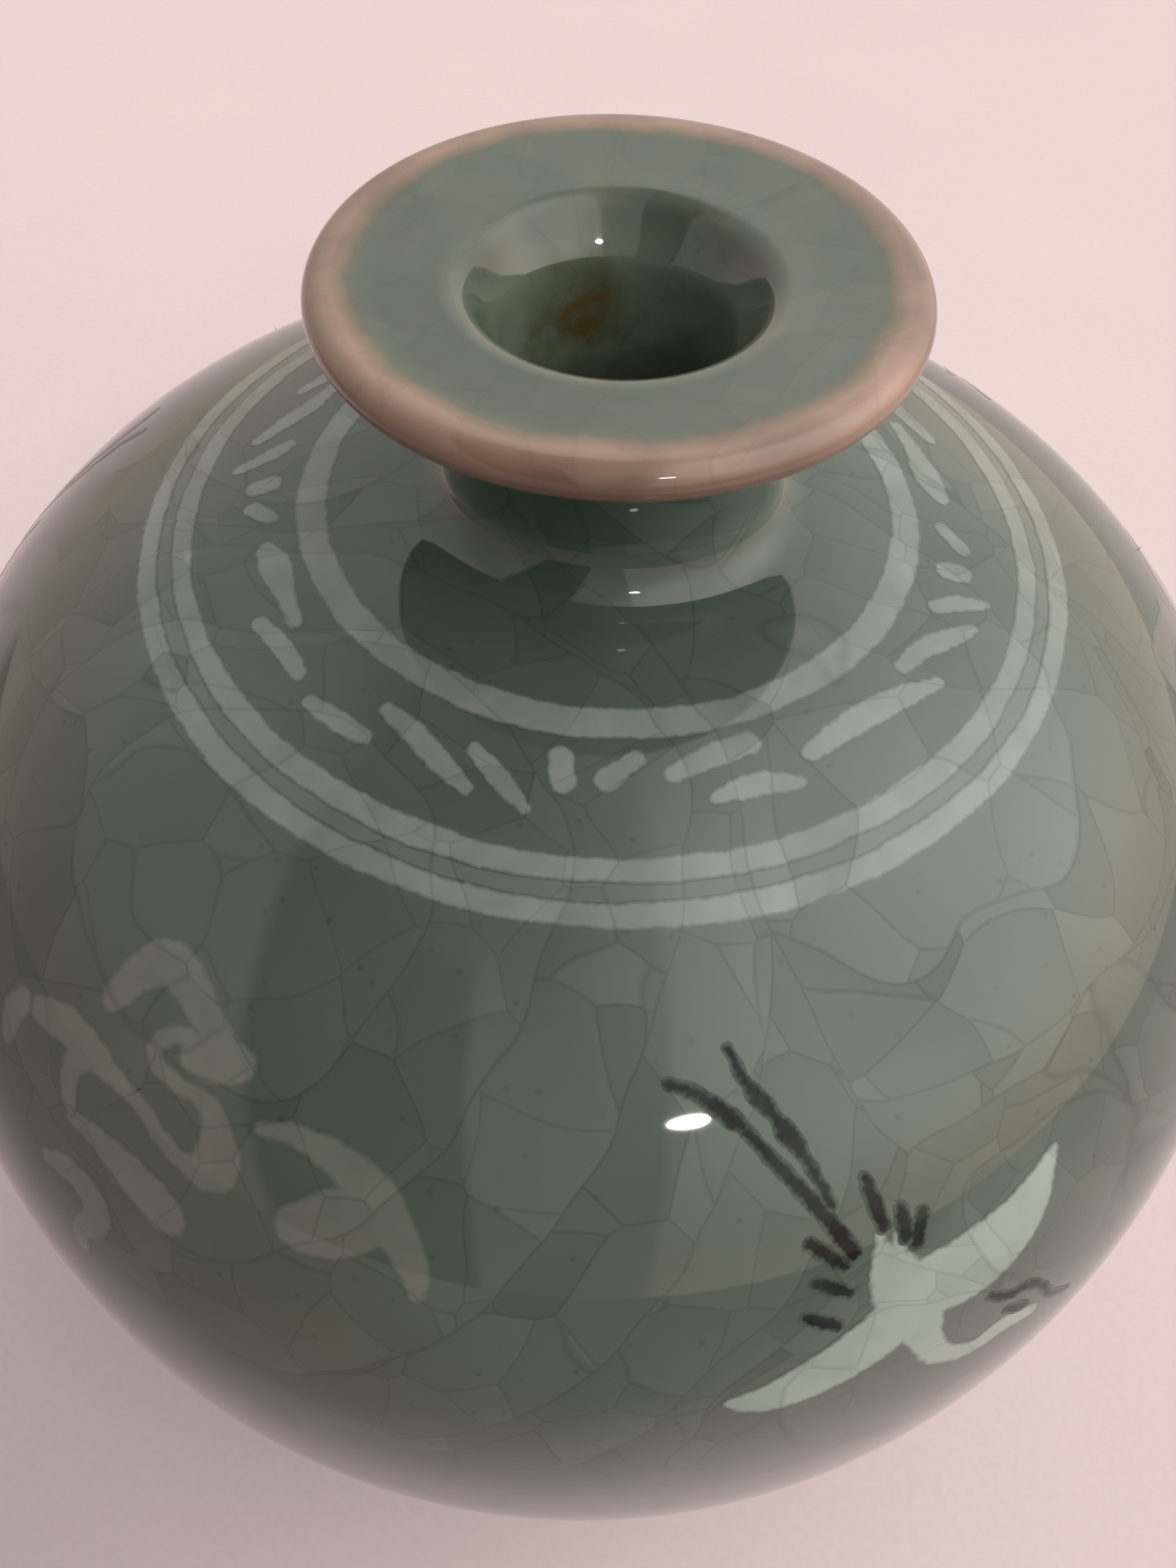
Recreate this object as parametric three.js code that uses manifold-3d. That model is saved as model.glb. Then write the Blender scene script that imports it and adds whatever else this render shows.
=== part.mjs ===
// A small celadon bottle vase with inlaid cranes and clouds, in millimetres, +Z up.
// The origin is the centre of the foot ring, on the surface that the vase stands on.
// Azimuths are in degrees, seen from above: 0 is the front (-Y) and 90 is +X.
// The clay body is thrown and turned. Each inlay is a body of white or black slip that fills
// a recess carved in the clay, so every inlay is cut from the same skin as its recess.
import * as THREE from "three";
import { mergeVertices } from "three/addons/utils/BufferGeometryUtils.js";
import Module from "manifold-3d";

const wasm = await Module();
wasm.setup();

// Body: foot, belly and shoulder
const FOOT_RADIUS = 24.5;
const FOOT_HEIGHT = 3.0;
const FOOT_RING_WIDTH = 3.8;
const FOOT_BEVEL = 0.8;
const BASE_HOLLOW = 2.2;
const BELLY_RADIUS = 53.85;
const BELLY_HEIGHT = 44.0;
const SHOULDER_RISE = 44.75;
const SHOULDER_FULLNESS = 2.54;
const WALL = 4.2;
const FLOOR = 5.0;

// Neck and mouth
const NECK_RADIUS = 9.8;
const NECK_WALL = 2.9;
const NECK_RISE = 5.5;
const NECK_SPREAD = 13.2;
const MOUTH_RADIUS = 17.8;
const MOUTH_RISE = 14.1;
const LIP_THICKNESS = 2.4;
const FUNNEL_DROP = 0.75;
const THROAT_RADIUS = 8.45;
const THROAT_ROLL = 1.1;
const THROAT_TAPER = 33;
const MOUTH_LEAN = 1.5;

// Inlays
const INLAY_DEPTH = 1.1;
const SEAT_GAP = 0.3;
const INNER_RING_RADIUS = 19.5;
const INNER_RING_WIDTH = 1.8;
const OUTER_RING_RADIUS = 30.4;
const OUTER_RING_WIDTH = 1.25;
const MIDDLE_RING_STEP = 2.35;
const MIDDLE_RING_WIDTH = 1.3;
const MOTIF_DROP = 17.9;
const MOTIF_PITCH = 120;
const CRANE_AZIMUTH = 27;
const CLOUD_AZIMUTH = -28;

// Fineness of the turned and cut surfaces: steps of a full turn, steps of a curve in the section,
// and the length of a step along a brush stroke
const TURN_STEPS = 36;
const SKIN_TURN_STEPS = 18;
const SKIN_STEPS = 4;
const LONG_CURVE_STEPS = 6;
const CURVE_STEPS = 5;
const SHORT_CURVE_STEPS = 3;
const STROKE_STEP = 4.0;

// A sprig of seven leaf strokes in the band between the inner and middle rings. Each stroke is a
// line of points: the turn as a share of the sprig's span, then the place across the band and
// the half width, both as shares of the band.
const LEFT_SPRIG = [
  [[-0.004, 0.29, 0.100], [0.004, 0.43, 0.107]],
  [[0.102, 0.24, 0.064], [0.064, 0.43, 0.086]],
  [[0.185, 0.31, 0.079], [0.238, 0.26, 0.143], [0.321, 0.27, 0.086], [0.393, 0.30, 0.057]],
  [[0.351, 0.57, 0.064], [0.423, 0.51, 0.086], [0.488, 0.54, 0.071]],
  [[0.548, 0.64, 0.057], [0.607, 0.61, 0.086], [0.667, 0.60, 0.064]],
  [[0.667, 0.31, 0.064], [0.726, 0.36, 0.086], [0.798, 0.50, 0.093], [0.857, 0.63, 0.050]],
  [[0.845, 0.31, 0.057], [0.899, 0.46, 0.086], [0.952, 0.67, 0.050]],
];
const RIGHT_SPRIG = [
  [[-0.005, 0.21, 0.100], [0.004, 0.40, 0.107]],
  [[0.129, 0.19, 0.071], [0.076, 0.37, 0.093]],
  [[0.188, 0.34, 0.064], [0.262, 0.23, 0.093], [0.339, 0.19, 0.100]],
  [[0.256, 0.57, 0.057], [0.327, 0.54, 0.093], [0.393, 0.63, 0.057]],
  [[0.440, 0.44, 0.079], [0.524, 0.39, 0.107], [0.631, 0.44, 0.107], [0.732, 0.61, 0.050]],
  [[0.708, 0.30, 0.071], [0.774, 0.34, 0.093], [0.833, 0.49, 0.093], [0.881, 0.64, 0.050]],
  [[0.887, 0.27, 0.064], [0.917, 0.41, 0.086], [0.952, 0.69, 0.050]],
];
const SPRIGS = [
  { start: -88, span: 84, strokes: LEFT_SPRIG },
  { start: -4, span: 83.5, strokes: RIGHT_SPRIG },
  { start: 79.5, span: 96.2, strokes: LEFT_SPRIG },
  { start: 175.7, span: 96.3, strokes: RIGHT_SPRIG },
];

// A crane that dives to the right with its legs trailing, drawn on a flat stencil laid against
// the shoulder: across, up and half width of each brush stroke, in millimetres.
const CRANE = {
  white: [
    [[-3.2, 1.0, 0.7], [-2.5, -1.6, 1.8], [-1.5, -4.6, 1.9], [-0.7, -7.6, 1.1]],
    [[-0.9, -7.2, 1.1], [0.4, -10.2, 0.7], [3.0, -11.5, 0.6], [5.6, -10.9, 0.95], [7.9, -11.5, 0.65]],
    [[-1.5, -2.8, 2.1], [2.4, -3.0, 2.8], [6.2, -1.3, 2.0], [9.1, 2.1, 0.3]],
    [[-1.5, -3.8, 2.2], [-5.2, -6.0, 2.1], [-9.2, -7.5, 1.5], [-12.8, -7.3, 0.3]],
  ],
  legs: [
    [[-12.2, 13.9, 0.32], [-9.8, 11.4, 0.45], [-7.2, 6.6, 0.42], [-5.0, 1.9, 0.5]],
    [[-8.8, 14.7, 0.3], [-7.3, 10.2, 0.48], [-6.2, 7.2, 0.36], [-5.9, 5.6, 0.36]],
  ],
  tail_feather: [[[-3.5, 6.0, 0.32], [-3.0, 2.7, 0.4]]],
  wing_feathers: [
    [[-1.7, 3.3, 0.4], [-1.6, 1.3, 0.42]],
    [[-0.5, 2.5, 0.42], [-1.3, 0.9, 0.48]],
  ],
  crest: [[[4.0, -6.9, 0.32], [6.9, -8.0, 0.42], [9.3, -10.8, 0.38], [11.6, -12.4, 0.28]]],
};

// A cloud scroll on a stencil of its own, drawn in the same way.
const CLOUD = {
  scroll: [
    [[-7.2, 8.0, 0.7], [-6.0, 10.2, 1.0], [-3.7, 11.0, 0.8], [0.6, 9.2, 0.8]],
    [[1.4, 8.9, 1.0], [-0.9, 7.8, 0.9]],
    [[-0.6, 8.7, 0.5], [-3.4, 7.6, 0.4], [-2.2, 5.9, 0.38], [1.1, 5.9, 0.5]],
    [[1.0, 5.9, 0.5], [2.3, 4.4, 1.1], [2.7, 2.6, 1.4]],
    [[2.4, 1.8, 0.8], [-0.8, 2.3, 0.5], [-6.3, 4.0, 0.5], [-9.0, 4.3, 0.9], [-12.0, 3.9, 0.7]],
    [[-7.7, 4.0, 0.9], [-8.9, 2.4, 0.6], [-8.7, 0.9, 0.5]],
  ],
  comma: [
    [[4.5, 6.3, 0.45], [9.0, 6.6, 1.0], [12.6, 4.7, 1.4], [15.5, 1.0, 0.4]],
    [[10.8, 4.8, 1.6], [8.2, 1.9, 1.3]],
  ],
  leaf: [[[-7.6, -0.9, 0.35], [-4.0, -1.1, 0.9], [0.1, -2.3, 1.5]]],
  tail: [
    [[-9.2, -5.9, 0.5], [-7.2, -5.4, 0.8], [-5.3, -6.0, 0.9]],
    [[-5.0, -6.3, 0.8], [-5.5, -8.4, 0.7], [-6.3, -11.0, 0.4]],
  ],
};

const material = (color, roughness) => new THREE.MeshStandardMaterial({ color, roughness, metalness: 0 });
const GLAZED_CLAY = material(0x66735f, 0.12);
const WHITE_SLIP = material(0x93a08f, 0.15);
const BLACK_SLIP = material(0x2c2e2d, 0.18);

const radians = THREE.MathUtils.degToRad;
const flat = (x, y) => new THREE.Vector2(x, y);
const crownHeight = BELLY_HEIGHT + SHOULDER_RISE;
const mouthHeight = crownHeight + MOUTH_RISE;

// Three rings: one below the neck, and a pair lower down that closes off the band of leaves.
const innerRing = { radius: INNER_RING_RADIUS, width: INNER_RING_WIDTH };
const middleRing = { radius: OUTER_RING_RADIUS - MIDDLE_RING_STEP, width: MIDDLE_RING_WIDTH };
const outerRing = { radius: OUTER_RING_RADIUS, width: OUTER_RING_WIDTH };
const bandInside = innerRing.radius + innerRing.width / 2;
const bandWidth = middleRing.radius - middleRing.width / 2 - bandInside;

// The shoulder is a superellipse from the belly's widest line up to the crown, drawn inwards by
// an inset for the skins and the inner wall. Its angle runs from 0 at the belly to 90.
function shoulderPoint(angle, inset) {
  const power = 2 / SHOULDER_FULLNESS;
  const across = (BELLY_RADIUS - inset) * Math.cos(radians(angle)) ** power;
  const up = (SHOULDER_RISE - inset) * Math.sin(radians(angle)) ** power;
  return flat(across, BELLY_HEIGHT + up);
}

// The shoulder's angle at a given radius from the axis, and at a given height above the belly.
function shoulderAngle(radius, inset) {
  const share = (radius / (BELLY_RADIUS - inset)) ** (SHOULDER_FULLNESS / 2);
  return THREE.MathUtils.radToDeg(Math.acos(share));
}

function shoulderAngleAbove(height) {
  return THREE.MathUtils.radToDeg(Math.asin((height / SHOULDER_RISE) ** (SHOULDER_FULLNESS / 2)));
}

const shoulderAt = (radius, inset) => shoulderPoint(shoulderAngle(radius, inset), inset);

function shoulderLine(fromRadius, toRadius, inset, steps) {
  const from = shoulderAngle(fromRadius, inset);
  const to = shoulderAngle(toRadius, inset);
  const points = [];
  for (let i = 0; i <= steps; i += 1) {
    points.push(shoulderPoint(THREE.MathUtils.lerp(from, to, i / steps), inset));
  }
  return points;
}

// The section of a ring's slip, or with a gap that of the groove turned to take it: both edges
// at the surface, and both corners below it.
function ringSection({ radius, width }, gap) {
  const far = radius + width / 2 + gap;
  const near = radius - width / 2 - gap;
  const depth = INLAY_DEPTH + gap;
  return [shoulderAt(far, 0), shoulderAt(far, depth), shoulderAt(near, depth), shoulderAt(near, 0)];
}

const bezier = (a, b, c, d, steps) => new THREE.CubicBezierCurve(a, b, c, d).getPoints(steps);

// The shoulder from the belly up to the neck's foot, with the three ring grooves turned in it.
function groovedShoulder() {
  const outer = ringSection(outerRing, SEAT_GAP);
  const middle = ringSection(middleRing, SEAT_GAP);
  const inner = ringSection(innerRing, SEAT_GAP);
  return [
    ...shoulderLine(BELLY_RADIUS, outer[0].x, 0, LONG_CURVE_STEPS).slice(0, -1),
    ...outer,
    ...middle,
    ...inner,
    shoulderAt(NECK_SPREAD, 0),
  ];
}

// The belly's outside, from the top of the foot ring up to its widest line.
function bellyLine(steps) {
  const height = BELLY_HEIGHT - FOOT_HEIGHT;
  return bezier(
    flat(FOOT_RADIUS, FOOT_HEIGHT),
    flat(THREE.MathUtils.lerp(FOOT_RADIUS, BELLY_RADIUS, 0.4), FOOT_HEIGHT + height * 0.17),
    flat(BELLY_RADIUS, FOOT_HEIGHT + height * 0.37),
    flat(BELLY_RADIUS, BELLY_HEIGHT),
    steps,
  );
}

// The outside, from the foot ring up to the lip's edge.
function outsideLine() {
  const neckFoot = shoulderAt(NECK_SPREAD, 0);
  const neck = flat(NECK_RADIUS, crownHeight + NECK_RISE);
  const lipHalf = LIP_THICKNESS / 2;
  const lip = flat(MOUTH_RADIUS - lipHalf, mouthHeight);
  const underLip = flat(lip.x, lip.y - lipHalf);
  return [
    flat(FOOT_RADIUS - FOOT_BEVEL, 0),
    flat(FOOT_RADIUS, FOOT_BEVEL),
    ...bellyLine(CURVE_STEPS).slice(0, -1),
    ...groovedShoulder(),
    ...bezier(
      neckFoot,
      flat(THREE.MathUtils.lerp(neckFoot.x, neck.x, 0.8), neckFoot.y + 0.2),
      flat(neck.x, THREE.MathUtils.lerp(neckFoot.y, neck.y, 0.45)),
      neck,
      SHORT_CURVE_STEPS,
    ).slice(1),
    ...bezier(
      neck,
      flat(neck.x, THREE.MathUtils.lerp(neck.y, underLip.y, 0.6)),
      flat(THREE.MathUtils.lerp(neck.x, underLip.x, 0.5), underLip.y - 0.9),
      underLip,
      SHORT_CURVE_STEPS,
    ).slice(1),
    ...new THREE.EllipseCurve(lip.x, lip.y, lipHalf, lipHalf, -Math.PI / 2, Math.PI / 2)
      .getPoints(SHORT_CURVE_STEPS + 1)
      .slice(1),
  ];
}

// The inside, from the lip's top down the funnel, round the throat's rolled edge and its taper,
// and through the neck's bore to the floor on the axis.
function insideLine() {
  const lipTop = flat(MOUTH_RADIUS - LIP_THICKNESS / 2, mouthHeight + LIP_THICKNESS / 2);
  const rollCentre = flat(THROAT_RADIUS + THROAT_ROLL, lipTop.y - FUNNEL_DROP - THROAT_ROLL);
  const rolled = new THREE.EllipseCurve(
    rollCentre.x,
    rollCentre.y,
    THROAT_ROLL,
    THROAT_ROLL,
    radians(98),
    radians(180 - THROAT_TAPER),
  ).getPoints(SHORT_CURVE_STEPS);
  const bore = flat(NECK_RADIUS - NECK_WALL, crownHeight + NECK_RISE);
  const taperRun = Math.abs(rolled.at(-1).x - bore.x) / Math.tan(radians(THROAT_TAPER));
  const shoulder = shoulderAt(NECK_SPREAD + WALL, WALL);
  const baseInside = BASE_HOLLOW + FLOOR;
  const belowBelly = BELLY_HEIGHT - baseInside;
  return [
    ...rolled,
    flat(bore.x, rolled.at(-1).y - taperRun),
    ...bezier(
      flat(bore.x, bore.y),
      flat(bore.x, shoulder.y + WALL * 0.7),
      flat(bore.x + 2, shoulder.y + 0.4),
      shoulder,
      SHORT_CURVE_STEPS,
    ),
    ...shoulderLine(shoulder.x, BELLY_RADIUS - WALL, WALL, CURVE_STEPS).slice(1),
    ...bezier(
      flat(BELLY_RADIUS - WALL, BELLY_HEIGHT),
      flat(BELLY_RADIUS - WALL, baseInside + belowBelly * 0.4),
      flat((BELLY_RADIUS - WALL) * 0.72, baseInside),
      flat(0, baseInside),
      SHORT_CURVE_STEPS,
    ).slice(1),
  ];
}

// The whole section of the clay: underside, outside, then back down the inside.
function claySection() {
  const ringInside = FOOT_RADIUS - FOOT_RING_WIDTH;
  return [
    flat(0, BASE_HOLLOW),
    flat(ringInside - FOOT_BEVEL, BASE_HOLLOW),
    flat(ringInside, BASE_HOLLOW - FOOT_BEVEL),
    flat(ringInside, FOOT_BEVEL / 2),
    flat(ringInside + FOOT_BEVEL / 2, 0),
    ...outsideLine(),
    ...insideLine(),
  ];
}

// Turns a section about the vase's upright axis.
function turned(section, steps) {
  return new THREE.LatheGeometry(section, steps).rotateX(Math.PI / 2);
}

// The hand that threw the neck let it lean: everything above the crown tips towards -X.
function leanNeck(geometry) {
  const place = geometry.attributes.position;
  const spot = new THREE.Vector3();
  const pivot = new THREE.Vector3(0, 0, crownHeight);
  const yAxis = new THREE.Vector3(0, 1, 0);
  for (let i = 0; i < place.count; i += 1) {
    spot.fromBufferAttribute(place, i);
    const share = THREE.MathUtils.smoothstep(spot.z, crownHeight, crownHeight + NECK_RISE);
    spot.sub(pivot).applyAxisAngle(yAxis, -radians(MOUTH_LEAN) * share).add(pivot);
    place.setXYZ(i, spot.x, spot.y, spot.z);
  }
  return geometry;
}

function toSolid(geometry) {
  const bare = geometry.clone();
  bare.deleteAttribute("normal");
  bare.deleteAttribute("uv");
  const merged = mergeVertices(bare, 1e-4);
  return new wasm.Manifold(
    new wasm.Mesh({
      numProp: 3,
      vertProperties: merged.attributes.position.array,
      triVerts: new Uint32Array(merged.index.array),
    }),
  );
}

function toGeometry(solid) {
  const mesh = solid.getMesh();
  const geometry = new THREE.BufferGeometry();
  geometry.setAttribute("position", new THREE.BufferAttribute(mesh.vertProperties, 3));
  geometry.setIndex(new THREE.BufferAttribute(mesh.triVerts, 1));
  return geometry;
}

function toMesh(solid, name, finish) {
  const geometry = toGeometry(solid);
  geometry.computeVertexNormals();
  const made = new THREE.Mesh(geometry, finish);
  made.name = name;
  return made;
}

// The outline of one brush stroke: a smooth line through its points, as wide on each side as
// the half widths along it, with a blunt point at each end. A recess is wider by the gap.
function strokeShape(points, grow) {
  const line = new THREE.CatmullRomCurve3(points.map(([x, y, half]) => new THREE.Vector3(x, y, half)));
  const steps = Math.max(points.length - 1, Math.round(line.getLength() / STROKE_STEP));
  const left = [];
  const right = [];
  for (let i = 0; i <= steps; i += 1) {
    const spot = line.getPointAt(i / steps);
    const along = line.getTangentAt(i / steps);
    const side = flat(-along.y, along.x).setLength(spot.z + grow);
    left.push(flat(spot.x + side.x, spot.y + side.y));
    right.push(flat(spot.x - side.x, spot.y - side.y));
  }
  right.reverse();
  return new THREE.Shape([...left, tip(left.at(-1), right[0]), ...right, tip(right.at(-1), left[0])]);
}

// The point of a stroke's end, half the stroke's width beyond its two edges.
function tip(from, to) {
  const middle = from.clone().add(to).divideScalar(2);
  return from.clone().rotateAround(middle, -Math.PI / 2);
}

// All strokes of one inlay as one prism, joined flat on the stencil and then laid on the vase.
function strokePrism(strokes, grow, frame, low, high) {
  const parts = strokes.map((points) => {
    const shape = strokeShape(points, grow);
    const prism = new THREE.ExtrudeGeometry(shape, { depth: high - low, bevelEnabled: false });
    return toSolid(prism.translate(0, 0, low));
  });
  const joined = parts.reduce((whole, part) => whole.add(part));
  return toSolid(toGeometry(joined).applyMatrix4(frame));
}

// The clay's outside from the foot to the neck, moved out along its own normals.
function skinLine(outwards) {
  const shoulder = shoulderLine(BELLY_RADIUS, NECK_SPREAD, 0, SKIN_STEPS);
  const line = [...bellyLine(SKIN_STEPS / 2), ...shoulder.slice(1)];
  return line.map((point, i) => {
    const along = line[Math.min(i + 1, line.length - 1)].clone().sub(line[Math.max(i - 1, 0)]);
    return flat(along.y, -along.x).setLength(outwards).add(point);
  });
}

// A skin of the clay: its outer face is raised above the vase, its inner face sunk.
function claySkin(raised, sunk) {
  const outer = skinLine(raised);
  const inner = skinLine(-sunk).reverse();
  return toSolid(turned([...outer, ...inner, outer[0]], SKIN_TURN_STEPS));
}

const clayBlank = toSolid(leanNeck(turned(claySection(), TURN_STEPS)));
const inlaySkin = claySkin(2 * INLAY_DEPTH, INLAY_DEPTH);
const recessSkin = claySkin(2 * INLAY_DEPTH, INLAY_DEPTH + SEAT_GAP);
const slipBlank = clayBlank.intersect(inlaySkin);

const vase = new THREE.Group();
const recesses = [];

// Seats one inlay: the slip is what the stroke takes out of the clay's skin, and the recess is
// wider and deeper by the gap.
function seat(name, finish, prismOf) {
  const slip = slipBlank.intersect(prismOf(0));
  recesses.push(recessSkin.intersect(prismOf(SEAT_GAP)));
  vase.add(toMesh(slip, name, finish));
}

function inlayRings() {
  const rings = { ring_inner: innerRing, ring_middle: middleRing, ring_outer: outerRing };
  for (const [name, ring] of Object.entries(rings)) {
    const section = ringSection(ring, 0).reverse();
    vase.add(toMesh(toSolid(turned([...section, section[0]], TURN_STEPS)), name, WHITE_SLIP));
  }
}

// Leaf strokes are drawn in plan and pressed straight down into the shoulder.
function inlaySprigs() {
  const plan = new THREE.Matrix4();
  SPRIGS.forEach(({ start, span, strokes }, sprigIndex) => {
    strokes.forEach((points, strokeIndex) => {
      const placed = points.map(([turn, across, half]) => {
        const azimuth = radians(start + turn * span);
        const radius = bandInside + across * bandWidth;
        return [radius * Math.sin(azimuth), -radius * Math.cos(azimuth), half * bandWidth];
      });
      const prismOf = (grow) => strokePrism([placed], grow, plan, BELLY_HEIGHT, mouthHeight);
      seat(`leaf_${sprigIndex + 1}_${strokeIndex + 1}`, WHITE_SLIP, prismOf);
    });
  });
}

// A stencil's frame: x runs round the vase, y up along it, and z out of it, at one azimuth.
function stencilFrame(azimuth) {
  const angle = shoulderAngleAbove(SHOULDER_RISE - MOTIF_DROP);
  const spot = shoulderPoint(angle, 0);
  const ahead = shoulderPoint(angle + 0.1, 0);
  const rise = Math.atan2(ahead.y - spot.y, spot.x - ahead.x);
  const turn = radians(azimuth);
  const outward = new THREE.Vector3(Math.sin(turn), -Math.cos(turn), 0);
  const across = new THREE.Vector3(Math.cos(turn), Math.sin(turn), 0);
  const up = outward.clone().multiplyScalar(-Math.cos(rise)).setZ(Math.sin(rise));
  const out = new THREE.Vector3().crossVectors(across, up);
  const origin = outward.clone().multiplyScalar(spot.x).setZ(spot.y);
  return new THREE.Matrix4().makeBasis(across, up, out).setPosition(origin);
}

// Cranes and clouds take turns round the shoulder, three of each.
function inlayMotifs(motif, drawing, firstAzimuth) {
  const reach = BELLY_RADIUS / 4;
  const count = Math.floor(360 / MOTIF_PITCH);
  for (let copy = 0; copy < count; copy += 1) {
    const frame = stencilFrame(firstAzimuth + copy * MOTIF_PITCH);
    for (const [piece, strokes] of Object.entries(drawing)) {
      const finish = motif === "cloud" || piece === "white" ? WHITE_SLIP : BLACK_SLIP;
      const prismOf = (grow) => strokePrism(strokes, grow, frame, -reach, reach / 2);
      seat(`${motif}_${copy + 1}_${piece}`, finish, prismOf);
    }
  }
}

inlayRings();
inlaySprigs();
inlayMotifs("crane", CRANE, CRANE_AZIMUTH);
inlayMotifs("cloud", CLOUD, CLOUD_AZIMUTH);

const clay = recesses.reduce((body, recess) => body.subtract(recess), clayBlank);
vase.add(toMesh(clay, "vase_body", GLAZED_CLAY));

export default vase;
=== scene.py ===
import math

import bpy
import numpy as np
from mathutils import Matrix, Vector


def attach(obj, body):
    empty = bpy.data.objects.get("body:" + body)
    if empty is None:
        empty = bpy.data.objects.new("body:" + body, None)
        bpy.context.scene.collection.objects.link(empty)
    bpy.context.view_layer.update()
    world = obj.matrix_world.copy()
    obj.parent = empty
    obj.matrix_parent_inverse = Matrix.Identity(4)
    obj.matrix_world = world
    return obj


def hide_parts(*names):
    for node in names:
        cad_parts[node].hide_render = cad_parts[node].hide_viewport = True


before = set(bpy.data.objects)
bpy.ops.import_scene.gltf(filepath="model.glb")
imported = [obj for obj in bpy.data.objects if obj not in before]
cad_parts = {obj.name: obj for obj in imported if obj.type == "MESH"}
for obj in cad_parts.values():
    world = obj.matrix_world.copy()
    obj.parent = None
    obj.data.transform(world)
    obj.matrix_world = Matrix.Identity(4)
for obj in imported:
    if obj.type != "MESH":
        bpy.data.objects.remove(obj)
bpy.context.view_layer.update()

# The view
# The camera looks down past the mouth from close in front of the vase, tilted a little to one
# side, wide enough that the nearer mouth looks large against the belly.
MM = 0.001
CAMERA_SPOT = (0.0, -66.34, 144.74)
CAMERA_TURNS = (36.448, -2.482, 3.417)
camera_data = bpy.data.cameras.new("camera")
camera_data.lens = 29.7
camera_data.sensor_width = 36.0
camera_data.clip_start = 0.005
camera = bpy.data.objects.new("camera", camera_data)
camera.location = [part * MM for part in CAMERA_SPOT]
camera.rotation_euler = [math.radians(turn) for turn in CAMERA_TURNS]
bpy.context.scene.collection.objects.link(camera)
bpy.context.scene.camera = camera
bpy.context.scene.view_settings.view_transform = "Standard"

# The table top
# A pale, slightly pink painted table that the vase stands on, with painted shade that darkens it
# towards the front left. It is the floor of the scene and no part of the vase.
TABLE_RADIUS = 0.9
STIPPLE_SIZE, PATCH_SIZE = 0.9, 60
STIPPLE_TONE, PATCH_TONE, TABLE_TONE = 0.10, 0.08, 0.91
SHADE_PAINTED_SIDE = (-0.55, -0.835, 0)
SHADE_PAINTED_FROM, SHADE_PAINTED_TO, SHADE_PAINTED_DEEPEST = 35, 120, 0.42


def colour(code):
    """An sRGB hex colour as the linear colour that a shader takes."""
    shares = [int(code[i:i + 2], 16) / 255 for i in (1, 3, 5)]
    return [s / 12.92 if s <= 0.04045 else ((s + 0.055) / 1.055) ** 2.4 for s in shares] + [1.0]


def add_node(tree, kind, inputs=(), **settings):
    """Adds a node. An input is a number, a colour, a socket, or a node for its first live output."""
    made = tree.nodes.new("ShaderNode" + kind)
    for key, value in settings.items():
        setattr(made, key, value)
    for key, value in dict(inputs).items():
        if isinstance(value, bpy.types.Node):
            value = next(socket for socket in value.outputs if socket.enabled)
        if isinstance(value, bpy.types.NodeSocket):
            tree.links.new(value, made.inputs[key])
        else:
            made.inputs[key].default_value = value
    return made


def new_material(name, **sockets):
    """A node material with one Principled shader, whose sockets are set by name."""
    made = bpy.data.materials.new(name)
    made.use_nodes = True
    tree = made.node_tree
    tree.nodes.clear()
    inputs = {key.replace("_", " "): value for key, value in sockets.items()}
    surface = add_node(tree, "BsdfPrincipled", inputs)
    add_node(tree, "OutputMaterial", {"Surface": surface})
    return made, tree, surface


bpy.ops.object.select_all(action="DESELECT")
bpy.ops.mesh.primitive_circle_add(vertices=96, radius=TABLE_RADIUS, fill_type="NGON", location=(0, 0, 0))
table_top = bpy.context.object
table_top.name = "table_top"
# Matt paint: no gloss to speak of, a stipple and faint patches. The stipple is drawn at 0.9 mm,
# coarser than a roller leaves it, so that it shows.
paint, tree, surface = new_material("matt_table_paint", Roughness=0.85, Specular_IOR_Level=0.2)
place = add_node(tree, "TexCoord").outputs["Object"]
stipple = add_node(tree, "TexNoise", {"Vector": place, "Scale": 1 / (STIPPLE_SIZE * MM), "Detail": 3.0})
patch = add_node(tree, "TexNoise", {"Vector": place, "Scale": 1 / (PATCH_SIZE * MM), "Detail": 2.0})
tone = add_node(tree, "Math", {0: patch, 1: PATCH_TONE, 2: TABLE_TONE}, operation="MULTIPLY_ADD")
tone = add_node(tree, "Math", {0: stipple, 1: STIPPLE_TONE, 2: tone}, operation="MULTIPLY_ADD")
# Painted shade: the paint darkens towards the front left, as if less of the room's light fell there.
painted_shade = add_node(tree, "VectorMath", {0: place, 1: SHADE_PAINTED_SIDE}, operation="DOT_PRODUCT")
painted_shade = {"Value": painted_shade, "From Min": SHADE_PAINTED_FROM * MM, "From Max": SHADE_PAINTED_TO * MM}
painted_shade = painted_shade | {"To Min": 1.0, "To Max": SHADE_PAINTED_DEEPEST}
painted_shade = add_node(tree, "MapRange", painted_shade, interpolation_type="SMOOTHSTEP")
tone = add_node(tree, "Math", {0: tone, 1: painted_shade}, operation="MULTIPLY")
tinted = add_node(tree, "VectorMath", {0: colour("#d8c9cc")[:3], "Scale": tone}, operation="SCALE")
tree.links.new(tinted.outputs[0], surface.inputs["Base Color"])
table_top.data.materials.append(paint)

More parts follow.
